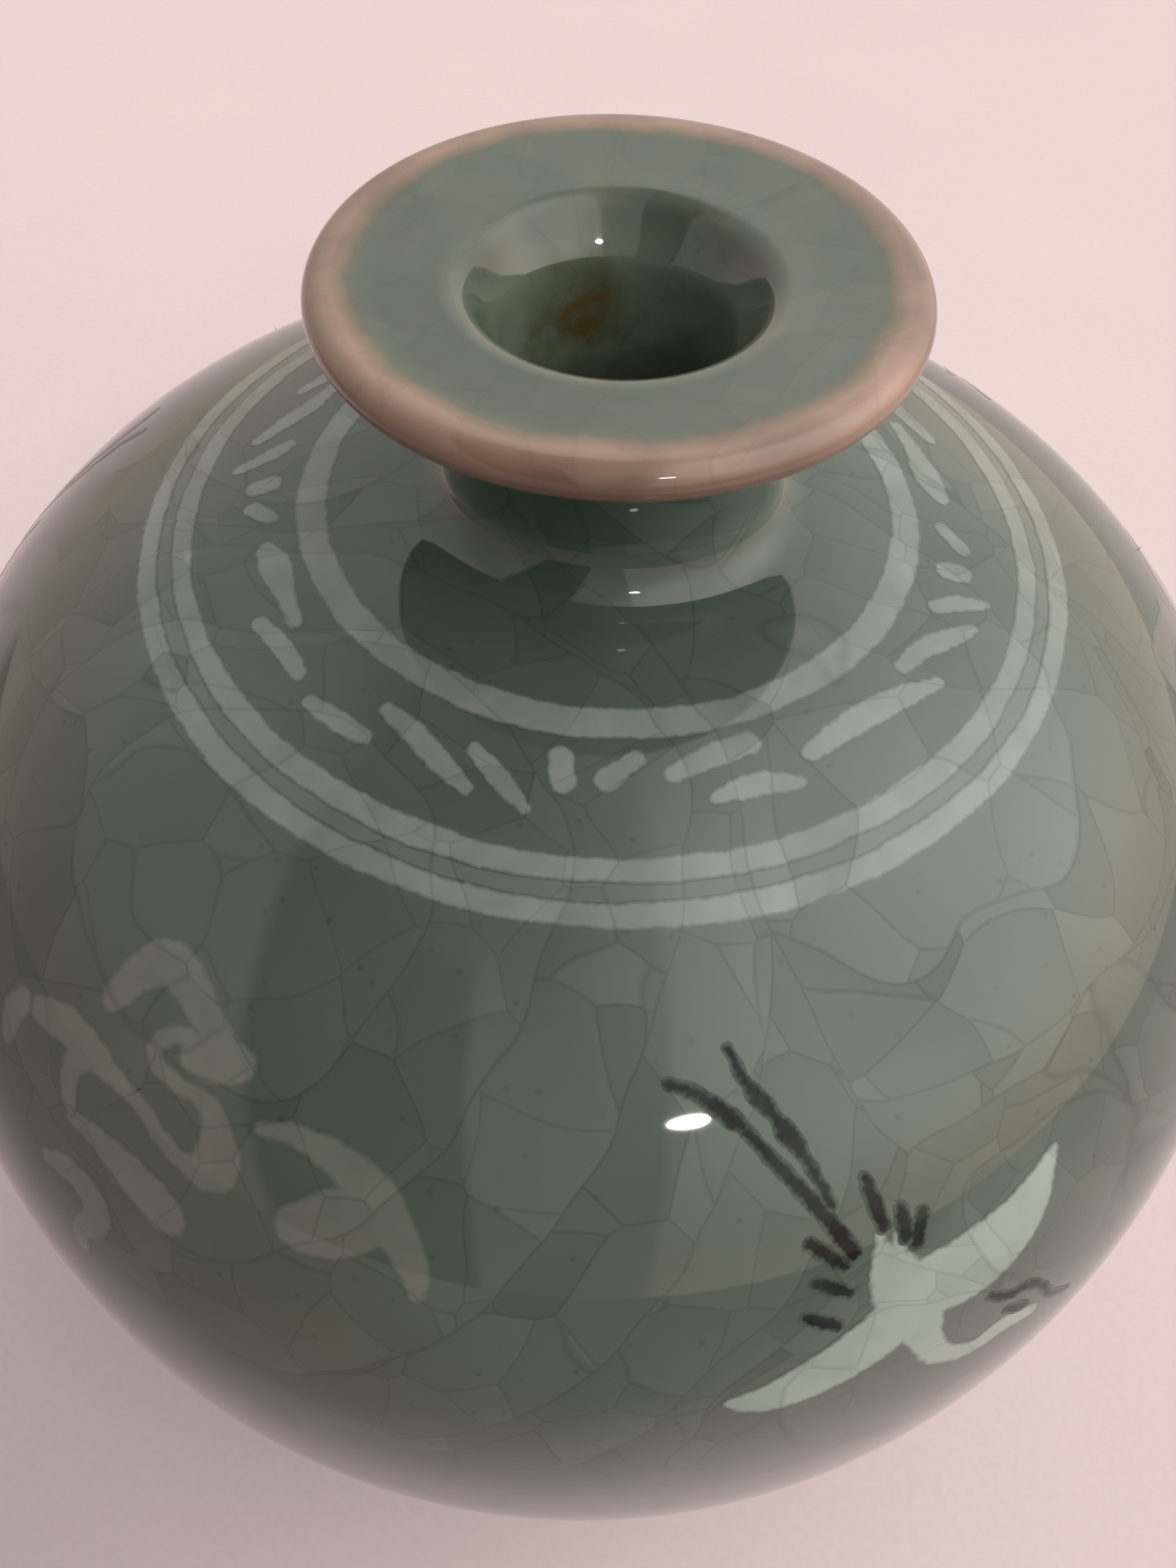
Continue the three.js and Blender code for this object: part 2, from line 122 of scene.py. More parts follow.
# The light
# A pale room in plain soft light: brighter walls behind and on the right, a window high on the
# right, a dim screen on the front left that the glaze mirrors, and one small lamp for its glints.
ROOM, BACK_WALL, RIGHT_WALL, WINDOW, DOORWAY = 0.70, 0.37, 0.75, 1.12, 0.35
CEILING_LOSS, LEFT_LOSS, SCREEN_LOSS = 0.9, 0.18, 0.97
LAMP_HEADING = Vector((0.28, -0.776, 0.566))
LAMP_DISTANCE, LAMP_AIM = 0.9, 70
world = bpy.data.worlds.new("pale_room")
world.use_nodes = True
bpy.context.scene.world = world
tree = world.node_tree
heading = add_node(tree, "TexCoord").outputs["Generated"]
over = add_node(tree, "SeparateXYZ", {"Vector": heading}).outputs["Z"]


def towards(direction, start, end):
    """How near a direction of the room is to a given one, from 0 at one cosine to 1 at another."""
    near = add_node(tree, "VectorMath", {0: heading, 1: direction}, operation="DOT_PRODUCT")
    near = {"Value": near, "From Min": start, "From Max": end}
    return add_node(tree, "MapRange", near, interpolation_type="SMOOTHSTEP")


def beyond(plane, softness):
    """How far a direction of the room is past a plane through the vase, from 0 to 1."""
    return towards(Vector(plane).normalized(), -softness, softness)


def both(first, second):
    """The share of a direction that lies in two parts of the room at once."""
    return add_node(tree, "Math", {0: first, 1: second}, operation="MULTIPLY")


def lit(level, share, amount):
    """The room's level with light added in one part of it."""
    return add_node(tree, "Math", {0: share, 1: amount, 2: level}, operation="MULTIPLY_ADD")


def dimmed(level, share, loss):
    """The room's level with a share of its light lost in one part of it."""
    kept = add_node(tree, "Math", {0: share, 1: -loss, 2: 1.0}, operation="MULTIPLY_ADD")
    return add_node(tree, "Math", {0: level, 1: kept}, operation="MULTIPLY")


level = lit(ROOM, beyond((0.148, 0.989, 0.0), 0.25), BACK_WALL)
right = both(beyond((0.729, 0.159, -0.093), 0.02), beyond((0.451, -0.893, 0.0), 1.0))
level = lit(level, right, RIGHT_WALL)
level = lit(level, towards((0.736, -0.219, 0.640), 0.61, 0.946), WINDOW)
level = lit(level, towards((0.62, 0.55, 0.56), 0.45, 0.92), DOORWAY)
ceiling = both(towards((0, 0, 1), 0.75, 0.97), beyond((-1.0, 0.3, 0.0), 0.3))
level = dimmed(level, ceiling, CEILING_LOSS)
level = dimmed(level, beyond((-0.9, -0.45, 0.0), 1.0), LEFT_LOSS)
screen = both(beyond((-0.884, 0.145, -0.153), 0.02), beyond((0.495, -0.394, 0.302), 0.03))
top = {"Value": over, "From Min": 0.86, "From Max": 0.93, "To Min": 1.0, "To Max": 0.0}
level = dimmed(level, both(screen, add_node(tree, "MapRange", top)), SCREEN_LOSS)
low = add_node(tree, "MapRange", {"Value": over, "From Min": 0.05, "From Max": 0.45})
tint = {"Factor": low, "A": colour("#f3dccf"), "B": colour("#fffaf3")}
tint = add_node(tree, "Mix", tint, data_type="RGBA")
room = tree.nodes["Background"]
tree.links.new(tint.outputs["Result"], room.inputs["Color"])
tree.links.new(level.outputs[0], room.inputs["Strength"])

lamp = bpy.data.lights.new("small_lamp", "AREA")
lamp.shape = "ELLIPSE"
lamp.size = 0.085
lamp.size_y = 0.045
lamp.energy = 0.6
lamp.color = colour("#fff6ee")[:3]
lamp_holder = bpy.data.objects.new("small_lamp", lamp)
lamp_holder.location = Vector((0, 0, LAMP_AIM * MM)) + LAMP_HEADING * LAMP_DISTANCE
lamp_holder.rotation_euler = LAMP_HEADING.to_track_quat("Z", "Y").to_euler()
bpy.context.scene.collection.objects.link(lamp_holder)

# The clay body
# A round, hollow bottle of grey stoneware, thrown on the wheel and trimmed to a low foot ring. Its
# section is drawn point by point in millimetres, as radius and height, and turned once round, and
# the neck is then leaned a little to one side.
FOOT_RADIUS, FOOT_HEIGHT, FOOT_RING_WIDTH, BASE_HOLLOW = 24.5, 3.0, 3.8, 2.2
FOOT_ROUND, FOOT_CREASE = 0.8, 0.4
BELLY_RADIUS, BELLY_HEIGHT = 53.85, 44.0
SHOULDER_RISE, SHOULDER_FULLNESS = 44.75, 2.54
WALL, FLOOR = 4.2, 5.0
NECK_RADIUS, NECK_WALL, NECK_RISE, NECK_SPREAD = 9.8, 2.9, 5.5, 13.2
MOUTH_RADIUS, MOUTH_RISE, LIP_THICKNESS = 17.8, 14.1, 2.4
FUNNEL_DROP, THROAT_RADIUS, THROAT_ROLL, THROAT_TAPER = 0.75, 8.25, 1.8, 33
TAPER_STRAIGHT = 0.75
MOUTH_LEAN = math.radians(1.5)
CROWN_HEIGHT = BELLY_HEIGHT + SHOULDER_RISE
MOUTH_HEIGHT = CROWN_HEIGHT + MOUTH_RISE
TURN_STEPS = 360


def bezier(a, b, c, d, steps):
    """Points on a cubic curve, without its first one."""
    t = np.linspace(0, 1, steps + 1)[1:, None]
    a, b, c, d = (np.array(p, float) for p in (a, b, c, d))
    return [*((1 - t) ** 3 * a + 3 * (1 - t) ** 2 * t * b + 3 * (1 - t) * t * t * c + t ** 3 * d)]


def arc(centre, radius, start, end, steps):
    """Points on a round edge, from one angle to another in degrees."""
    angles = np.radians(np.linspace(start, end, steps + 1))
    return [*(np.array(centre) + radius * np.stack([np.cos(angles), np.sin(angles)], 1))]


def shoulder_height(radius, inset=0.0):
    """The height of the shoulder's superellipse at a radius, or of its inner wall with an inset."""
    share = np.clip(np.asarray(radius, float) / (BELLY_RADIUS - inset), 0, 1)
    rise = (1 - share ** SHOULDER_FULLNESS) ** (1 / SHOULDER_FULLNESS)
    return BELLY_HEIGHT + (SHOULDER_RISE - inset) * rise


def shoulder_line(start, end, inset, steps):
    """Points along the shoulder between two radii, evenly spread by angle, without the first."""
    power = SHOULDER_FULLNESS / 2
    angles = [math.acos((radius / (BELLY_RADIUS - inset)) ** power) for radius in (start, end)]
    turn = np.linspace(*angles, steps + 1)[1:]
    radii = (BELLY_RADIUS - inset) * np.cos(turn) ** (1 / power)
    heights = BELLY_HEIGHT + (SHOULDER_RISE - inset) * np.sin(turn) ** (1 / power)
    return [*np.stack([radii, heights], 1)]


ring_inside = FOOT_RADIUS - FOOT_RING_WIDTH
neck_foot = (NECK_SPREAD, float(shoulder_height(NECK_SPREAD)))
neck_waist = (NECK_RADIUS, CROWN_HEIGHT + NECK_RISE)
lip_half = LIP_THICKNESS / 2
lip = (MOUTH_RADIUS - lip_half, MOUTH_HEIGHT)
under_lip = (lip[0], lip[1] - lip_half)
lip_top = (lip[0], lip[1] + lip_half)
roll = (THROAT_RADIUS + THROAT_ROLL, lip_top[1] - FUNNEL_DROP - THROAT_ROLL)
rolled = arc(roll, THROAT_ROLL, 98, 180 - THROAT_TAPER, 8)
bore = (NECK_RADIUS - NECK_WALL, neck_waist[1])
taper_run = abs(rolled[-1][0] - bore[0]) / math.tan(math.radians(THROAT_TAPER))
taper_foot = np.array((bore[0], rolled[-1][1] - taper_run))
taper_end = rolled[-1] + (taper_foot - rolled[-1]) * TAPER_STRAIGHT
shoulder_inside = (NECK_SPREAD + WALL, float(shoulder_height(NECK_SPREAD + WALL, WALL)))
base_inside = BASE_HOLLOW + FLOOR
belly_rise = BELLY_HEIGHT - FOOT_HEIGHT
belly_inside = BELLY_RADIUS - WALL

section = [
    # The hollow under the foot, the foot ring and the belly up to its widest
    (0, BASE_HOLLOW),
    (ring_inside * 0.5, BASE_HOLLOW),
    *arc((ring_inside - FOOT_ROUND, BASE_HOLLOW - FOOT_ROUND), FOOT_ROUND, 90, 0, 6),
    *arc((ring_inside + FOOT_CREASE, FOOT_CREASE), FOOT_CREASE, 180, 270, 5),
    *arc((FOOT_RADIUS - FOOT_ROUND, FOOT_ROUND), FOOT_ROUND, 270, 360, 6),
    (FOOT_RADIUS, FOOT_HEIGHT - 0.6),
    (FOOT_RADIUS + 0.15, FOOT_HEIGHT - 0.2),
    *bezier(
        (FOOT_RADIUS + 0.35, FOOT_HEIGHT + 0.1),
        (FOOT_RADIUS + (BELLY_RADIUS - FOOT_RADIUS) * 0.4, FOOT_HEIGHT + belly_rise * 0.17),
        (BELLY_RADIUS, FOOT_HEIGHT + belly_rise * 0.37),
        (BELLY_RADIUS, BELLY_HEIGHT),
        26,
    ),
    # The shoulder, the neck from its foot to its waist, and the flare under the lip
    *shoulder_line(BELLY_RADIUS, NECK_SPREAD, 0, 100),
    *bezier(
        neck_foot,
        (NECK_SPREAD + (NECK_RADIUS - NECK_SPREAD) * 0.8, neck_foot[1] + 0.2),
        (NECK_RADIUS, neck_foot[1] + (neck_waist[1] - neck_foot[1]) * 0.45),
        neck_waist,
        14,
    ),
    *bezier(
        neck_waist,
        (NECK_RADIUS, neck_waist[1] + (under_lip[1] - neck_waist[1]) * 0.6),
        ((NECK_RADIUS + under_lip[0]) / 2, under_lip[1] - 0.9),
        under_lip,
        16,
    ),
    # The round lip, the shallow funnel, and the throat that rolls in and tapers to the bore
    *arc(lip, lip_half, -90, 90, 16)[1:],
    *bezier(
        lip_top,
        (lip_top[0] - 2.4, lip_top[1] - 0.12),
        (roll[0] + 2.6, roll[1] + THROAT_ROLL + 0.16),
        tuple(rolled[0]),
        14,
    )[:-1],
    *rolled,
    *(rolled[-1] + (taper_end - rolled[-1]) * share for share in (0.25, 0.5, 0.75)),
    *bezier(taper_end, taper_foot, taper_foot - (0, 0.6), taper_foot - (0, 2.2), 10),
    *bezier(taper_foot - (0, 2.2), taper_foot - (0, 3.2), (bore[0], bore[1] + 1), bore, 4),
    # The bore of the neck, and the inside of the shoulder, the belly and the floor
    *bezier(
        bore,
        (bore[0], shoulder_inside[1] + WALL * 0.7),
        (bore[0] + 2, shoulder_inside[1] + 0.4),
        shoulder_inside,
        12,
    ),
    *shoulder_line(shoulder_inside[0], belly_inside, WALL, 14),
    *bezier(
        (belly_inside, BELLY_HEIGHT),
        (belly_inside, base_inside + (BELLY_HEIGHT - base_inside) * 0.4),
        (belly_inside * 0.72, base_inside),
        (0, base_inside),
        12,
    ),
]
section = np.array([np.array(point, float) for point in section])


def turn_on_wheel(name, line, steps):
    """Draws a section by extruding one point along it, and turns it once round the upright axis."""
    bpy.ops.object.select_all(action="DESELECT")
    bpy.ops.mesh.primitive_plane_add(size=MM, location=(line[0][0] * MM, 0, line[0][1] * MM))
    made = bpy.context.object
    made.name = name
    bpy.ops.object.transform_apply(location=True, rotation=True, scale=True)
    bpy.ops.object.mode_set(mode="EDIT")
    bpy.ops.mesh.select_all(action="SELECT")
    bpy.ops.mesh.merge(type="CENTER")
    for step in np.diff(line, axis=0):
        move = (step[0] * MM, 0, step[1] * MM)
        bpy.ops.mesh.extrude_region_move(TRANSFORM_OT_translate={"value": move})
    bpy.ops.object.mode_set(mode="OBJECT")
    wheel = made.modifiers.new("wheel", "SCREW")
    wheel.steps = wheel.render_steps = steps
    bpy.ops.object.modifier_apply(modifier=wheel.name)
    bpy.ops.object.mode_set(mode="EDIT")
    bpy.ops.mesh.select_all(action="SELECT")
    bpy.ops.mesh.remove_doubles(threshold=0.01 * MM)
    bpy.ops.mesh.normals_make_consistent(inside=False)
    bpy.ops.object.mode_set(mode="OBJECT")
    bpy.ops.object.shade_smooth()
    return made


def places(piece):
    """A piece's vertices in millimetres."""
    spots = np.empty(len(piece.data.vertices) * 3)
    piece.data.vertices.foreach_get("co", spots)
    return spots.reshape(-1, 3) / MM


def set_places(piece, spots):
    """Moves a piece's vertices to spots given in millimetres."""
    piece.data.vertices.foreach_set("co", (spots * MM).ravel())
    piece.data.update()


def set_attribute(piece, name, values):
    """Gives each vertex of a piece a number that its material reads."""
    attribute = piece.data.attributes.new(name, "FLOAT", "POINT")
    attribute.data.foreach_set("value", np.asarray(values, np.float32))


def lean_neck(spots):
    """Tips what lies above the crown towards -X, and lets the neck's foot follow smoothly."""
    share = np.clip((spots[:, 2] - CROWN_HEIGHT) / NECK_RISE, 0, 1)
    turn = -MOUTH_LEAN * share ** 2 * (3 - 2 * share)
    across, up = spots[:, 0], spots[:, 2] - CROWN_HEIGHT
    spots[:, 0], spots[:, 2] = (
        across * np.cos(turn) + up * np.sin(turn),
        CROWN_HEIGHT - across * np.sin(turn) + up * np.cos(turn),
    )
    return spots


vase = turn_on_wheel("clay_body", section, TURN_STEPS)
spots = places(vase)
radii = np.hypot(spots[:, 0], spots[:, 1])
along = np.concatenate([[0], np.cumsum(np.hypot(*np.diff(section, axis=0).T))])
lip_edge = np.argmax(np.where(section[:, 1] > CROWN_HEIGHT, section[:, 0], 0))
nearest = [
    np.argmin((section[:, 0] - radius) ** 2 + (section[:, 1] - height) ** 2)
    for radius, height in zip(radii, spots[:, 2])
]
set_attribute(vase, "from_lip", along[nearest] - along[lip_edge])
set_places(vase, lean_neck(spots))

# The celadon glaze
# A glassy iron glaze over the whole body, fired in reduction: grey-green and a little cloudy. On
# cooling it crackled into plates a few millimetres wide that each catch the light differently.
SWAY_SIZE, SWAY = 28, 12
WOBBLE_SIZE, WOBBLE = 8, 2.0
FIELD, FIELD_SHIFT = 48.0, 300
ARC_STEP = 5.4
PLATE = 6.4
STRIP_SHIFT = (37, 61, 23)
TONE_SPREAD, LAP_SPREAD = 0.9, 0.6
CRACK_WIDTH = 0.13
PLATE_TONE, LINE_TONE = 0.11, -0.17
PLATE_SHINE, LINE_SHINE = 0.13, -0.12
RIPPLE_SIZE, RIPPLE_HEIGHT = 9, 0.04
POOL_SIZE, SPECK_SIZE = 34, 1.9
GLAZE_ROUGHNESS = 0.045
GLAZE_IOR = 1.55
MIDDLE_GREY = (0.5, 0.5, 0.5)


def swayed(tree, place, size, reach, **grain):
    """Places pushed about by a soft noise: the size of its waves and its reach, in millimetres."""
    push = add_node(tree, "TexNoise", {"Vector": place, "Scale": 1 / (size * MM), **grain})
    push = {0: push.outputs["Color"], 1: MIDDLE_GREY}
    push = add_node(tree, "VectorMath", push, operation="SUBTRACT")
    push = add_node(tree, "VectorMath", {0: push, "Scale": reach * MM}, operation="SCALE")
    return add_node(tree, "VectorMath", {0: place, 1: push}, operation="ADD")


def crackle(tree):
    """The crackle's parts: shade of each plate from -1 to 1, crack lines from 0 to 1.

    Long arcs lap one another like scales, as rings of a wide field, and cut a smaller pattern
    of plates that is moved along in each strip between two arcs.
    """
    place = add_node(tree, "TexCoord").outputs["Object"]
    place = swayed(tree, place, SWAY_SIZE, SWAY, Detail=2.0, Roughness=0.38)
    place = swayed(tree, place, WOBBLE_SIZE, WOBBLE, Detail=1.0)
    fields = {"Vector": place, "Scale": 1 / (FIELD * MM)}
    field = add_node(tree, "TexVoronoi", fields)
    from_field = add_node(tree, "TexVoronoi", fields, feature="DISTANCE_TO_EDGE")
    from_field = add_node(tree, "Math", {0: from_field, 1: FIELD}, operation="MULTIPLY")
    arcs = add_node(tree, "Math", {0: field, 1: FIELD / ARC_STEP}, operation="MULTIPLY")
    strip = add_node(tree, "Math", {0: arcs}, operation="ROUND")
    from_arc = add_node(tree, "Math", {0: arcs, 1: 0.5}, operation="PINGPONG")
    from_arc = {0: from_arc, 1: -ARC_STEP, 2: ARC_STEP / 2}
    from_arc = add_node(tree, "Math", from_arc, operation="MULTIPLY_ADD")
    shift = {0: field.outputs["Color"], "Scale": FIELD_SHIFT * MM}
    shift = add_node(tree, "VectorMath", shift, operation="SCALE")
    steps = {0: [step * MM for step in STRIP_SHIFT], "Scale": strip}
    steps = add_node(tree, "VectorMath", steps, operation="SCALE")
    shift = add_node(tree, "VectorMath", {0: shift, 1: steps}, operation="ADD")
    place = add_node(tree, "VectorMath", {0: place, 1: shift}, operation="ADD")
    plates = {"Vector": place, "Scale": 1 / (PLATE * MM)}
    plate = add_node(tree, "TexVoronoi", plates)
    from_plate = add_node(tree, "TexVoronoi", plates, feature="DISTANCE_TO_EDGE")
    from_plate = add_node(tree, "Math", {0: from_plate, 1: PLATE}, operation="MULTIPLY")
    gap = add_node(tree, "Math", {0: from_arc, 1: from_plate}, operation="MINIMUM")
    gap = add_node(tree, "Math", {0: gap, 1: from_field}, operation="MINIMUM")
    line = {"Value": gap, "From Min": 0.0, "From Max": CRACK_WIDTH, "To Min": 1.0, "To Max": 0.0}
    line = add_node(tree, "MapRange", line, interpolation_type="SMOOTHSTEP")
    # Painted light: each plate is made lighter on one side and darker on the other, as a tilted plate in
    # the glaze catches the light, and the lap below does the same across each strip between two arcs.
    tilt = {0: plate.outputs["Color"], 1: MIDDLE_GREY}
    tilt = add_node(tree, "VectorMath", tilt, operation="SUBTRACT")
    inside = {0: place, 1: plate.outputs["Position"]}
    inside = add_node(tree, "VectorMath", inside, operation="SUBTRACT")
    slope = add_node(tree, "VectorMath", {0: inside, 1: tilt}, operation="DOT_PRODUCT")
    slope = add_node(tree, "Math", {0: slope, 1: 1.0 / (PLATE * MM / 2)}, operation="MULTIPLY")
    tone = add_node(tree, "SeparateColor", {"Color": plate.outputs["Color"]}).outputs["Red"]
    tone = {0: tone, 1: TONE_SPREAD, 2: -TONE_SPREAD / 2}
    tone = add_node(tree, "Math", tone, operation="MULTIPLY_ADD")
    lap = add_node(tree, "Math", {0: arcs, 1: 0.5}, operation="ADD")
    lap = add_node(tree, "Math", {0: lap}, operation="FRACT")
    lap = {0: lap, 1: LAP_SPREAD, 2: -LAP_SPREAD / 2}
    lap = add_node(tree, "Math", lap, operation="MULTIPLY_ADD")
    shade = add_node(tree, "Math", {0: tone, 1: slope}, operation="ADD")
    return add_node(tree, "Math", {0: shade, 1: lap}, operation="ADD"), line


def glazed(tree, surface, under, strength=1.0, shine=0.5):
    """Joins a colour seen through the glaze to the shader, with the crackle over it."""
    shade, line = crackle(tree)
    tone = add_node(tree, "Math", {0: line, 1: LINE_TONE}, operation="MULTIPLY")
    tone = add_node(tree, "Math", {0: shade, 1: PLATE_TONE, 2: tone}, operation="MULTIPLY_ADD")
    tone = add_node(tree, "Math", {0: tone, 1: strength, 2: 1.0}, operation="MULTIPLY_ADD")
    tinted = add_node(tree, "VectorMath", {0: under, "Scale": tone}, operation="SCALE")
    gloss = add_node(tree, "Math", {0: line, 1: LINE_SHINE}, operation="MULTIPLY")
    gloss = add_node(tree, "Math", {0: shade, 1: PLATE_SHINE, 2: gloss}, operation="MULTIPLY_ADD")
    gloss = add_node(tree, "Math", {0: gloss, 1: strength, 2: 1.0}, operation="MULTIPLY_ADD")
    gloss = add_node(tree, "Math", {0: gloss, 1: shine}, operation="MULTIPLY")
    ripple = {"Vector": add_node(tree, "TexCoord").outputs["Object"], "Scale": 1 / (RIPPLE_SIZE * MM)}
    ripple = add_node(tree, "TexNoise", ripple | {"Detail": 2.0, "Roughness": 0.35})
    bump = add_node(tree, "Bump", {"Height": ripple, "Strength": 1.0, "Distance": RIPPLE_HEIGHT * MM})
    surface.inputs["Specular IOR Level"].default_value = shine
    tree.links.new(tinted.outputs[0], surface.inputs["Base Color"])
    tree.links.new(gloss.outputs[0], surface.inputs["Specular IOR Level"])
    tree.links.new(bump.outputs[0], surface.inputs["Normal"])


def washed(tree, under, *washes):
    """Washes laid over a colour in turn, each given as its share of cover and its colour."""
    for share, wash in washes:
        under = add_node(tree, "Mix", {"Factor": share, "A": under, "B": wash}, data_type="RGBA")
    return under


def celadon_colour(tree):
    """The colour of grey clay under the glaze: bluer in pools, browner on the left, iron-specked."""
    place = add_node(tree, "TexCoord").outputs["Object"]
    across = add_node(tree, "SeparateXYZ", {"Vector": place}).outputs["X"]
    pool = {"Vector": place, "Scale": 1 / (POOL_SIZE * MM), "Detail": 3.0, "Roughness": 0.55}
    pool = add_node(tree, "TexNoise", pool)
    iron = {"Value": pool.outputs["Color"], "From Min": 0.62, "From Max": 0.75, "To Max": 0.35}
    pool = {"Value": pool, "From Min": 0.32, "From Max": 0.68}
    browner = {"Value": across, "From Min": 5 * MM, "From Max": -40 * MM, "To Max": 0.4}
    speck = add_node(tree, "TexVoronoi", {"Vector": place, "Scale": 1 / (SPECK_SIZE * MM)})
    speck = {"Value": speck, "From Min": 0.05, "From Max": 0.14, "To Min": 0.4, "To Max": 0.0}
    return washed(
        tree,
        colour("#46534b"),
        (add_node(tree, "MapRange", pool), colour("#4d5850")),
        (add_node(tree, "MapRange", iron), colour("#565539")),
        (add_node(tree, "MapRange", browner), colour("#464540")),
        (add_node(tree, "MapRange", speck), colour("#2f3a31")),
    )


# The neck and the mouth
# The same glaze ran together thick and green round the neck and mottled in the funnel, drew thin
# over the lip, where pinkish clay shows through, and took a brown stain in the throat. Painted shade
# darkens the neck under the lip and the funnel deep in and on its left, a painted highlight lies on
# the funnel's crease, and painted light makes the lip lighter on the right. What from_lip gives is
# the way along the section from the lip's edge in millimetres, inwards above zero.
NECK_POOL_AND_SHADE = {"From Min": -5.0, "From Max": -9.0, "To Max": 0.8}
NECK_POOL_AND_SHADE_END = {"From Min": -15.0, "From Max": -24.0, "To Min": 1.0, "To Max": 0.0}
FUNNEL = {"From Min": 3.0, "From Max": 5.0}
THROAT = {"From Min": 11.0, "From Max": 16.0, "To Max": 0.55}
FUNNEL_SHADED_SIDE = (-0.75, -0.66, 0.0)
CREASE = 9.0
SMEAR_RADIUS = 29.2
LIP_FROM, LIP_TO, LIP_RAGGED = -4.0, 4.5, 1.6
LIP_BAND = [
    (-3.1, "#6b5238"),
    (-2.4, "#634d40"),
    (0.0, "#705a4e"),
    (2.3, "#897062"),
    (3.0, "#71614f"),
    (3.5, "#545645"),
]
STAIN, STAIN_RAGGED, STAIN_SPREAD = (-3.0, 6.3, 96.4), 9.0, 3.0


def pooled_colour(tree, under):
    """Green glaze run thick round the neck, mottled in the funnel, and lighter in the throat.

    Painted shade darkens the neck under the lip, and the funnel deep in and on its left. A pale line on
    the crease where the funnel turns down is partly thin glaze and partly a painted highlight, stronger
    at the front. It is pale too over slip smeared between two rings.
    """
    place = add_node(tree, "TexCoord").outputs["Object"]
    parts = add_node(tree, "SeparateXYZ", {"Vector": place}).outputs
    from_lip = add_node(tree, "Attribute", attribute_name="from_lip").outputs["Fac"]
    # Glaze pooled thick and green round the neck, darkened further as painted shade under the lip.
    neck = add_node(tree, "MapRange", {"Value": from_lip} | NECK_POOL_AND_SHADE)
    neck_end = add_node(tree, "MapRange", {"Value": from_lip} | NECK_POOL_AND_SHADE_END)
    neck = add_node(tree, "Math", {0: neck, 1: neck_end}, operation="MULTIPLY")
    inside = add_node(tree, "MapRange", {"Value": from_lip} | FUNNEL)
    cloudy = {"Vector": place, "Scale": 1 / (4.5 * MM), "Detail": 4.0, "Distortion": 0.6}
    cloudy = {"Value": add_node(tree, "TexNoise", cloudy), "From Min": 0.3, "From Max": 0.7}
    cloudy = {0: add_node(tree, "MapRange", cloudy), 1: inside}
    cloudy = add_node(tree, "Math", cloudy, operation="MULTIPLY")
    # Painted shade: the funnel is darkened deeper in towards the throat and on its left side.
    depth = {"Value": from_lip, "From Min": 4.0, "From Max": 9.5, "To Max": 0.1}
    left = add_node(tree, "VectorMath", {0: place, 1: FUNNEL_SHADED_SIDE}, operation="DOT_PRODUCT")
    left = {"Value": left, "From Min": -4 * MM, "From Max": 13 * MM, "To Max": 0.7}
    depth = {0: add_node(tree, "MapRange", depth), 1: add_node(tree, "MapRange", left)}
    depth = add_node(tree, "Math", depth, operation="ADD")
    depth = add_node(tree, "Math", {0: depth, 1: inside}, operation="MULTIPLY")
    throat = add_node(tree, "MapRange", {"Value": from_lip} | THROAT)
    smear = add_node(tree, "VectorMath", {0: place, 1: (1.0, 1.0, 0.0)}, operation="MULTIPLY")
    smear = add_node(tree, "VectorMath", {0: smear}, operation="LENGTH")
    smear = add_node(tree, "Math", {0: smear, 1: -SMEAR_RADIUS * MM}, operation="ADD")
    smear = add_node(tree, "Math", {0: smear}, operation="ABSOLUTE")
    smear = {"Value": smear, "From Min": 0.5 * MM, "From Max": 2.2 * MM, "To Min": 0.3, "To Max": 0.0}
    shoulder = {"Value": parts["Z"], "From Min": 70 * MM, "From Max": 72 * MM}
    smear = {0: add_node(tree, "MapRange", smear), 1: add_node(tree, "MapRange", shoulder)}
    smear = add_node(tree, "Math", smear, operation="MULTIPLY")
    # A pale line on the crease where the funnel turns down: partly glaze drawn thin over the edge, partly
    # a painted highlight, so it is stronger at the front.
    crease = add_node(tree, "Math", {0: from_lip, 1: -CREASE}, operation="ADD")
    crease = add_node(tree, "Math", {0: crease}, operation="ABSOLUTE")
    crease = {"Value": crease, "From Min": 0.1, "From Max": 1.0, "To Min": 0.4, "To Max": 0.0}
    crease = add_node(tree, "MapRange", crease, interpolation_type="SMOOTHSTEP")
    front = {"Value": parts["Y"], "From Min": 4 * MM, "From Max": -7 * MM, "To Min": 0.1}
    crease = {0: crease, 1: add_node(tree, "MapRange", front)}
    crease = add_node(tree, "Math", crease, operation="MULTIPLY")
    return washed(
        tree,
        under,
        (neck, colour("#2f4239")),
        (cloudy, colour("#585c4f")),
        (depth, colour("#303c33")),
        (throat, colour("#7d8a7b")),
        (smear, colour("#78817b")),
        (crease, colour("#6f7465")),
    )


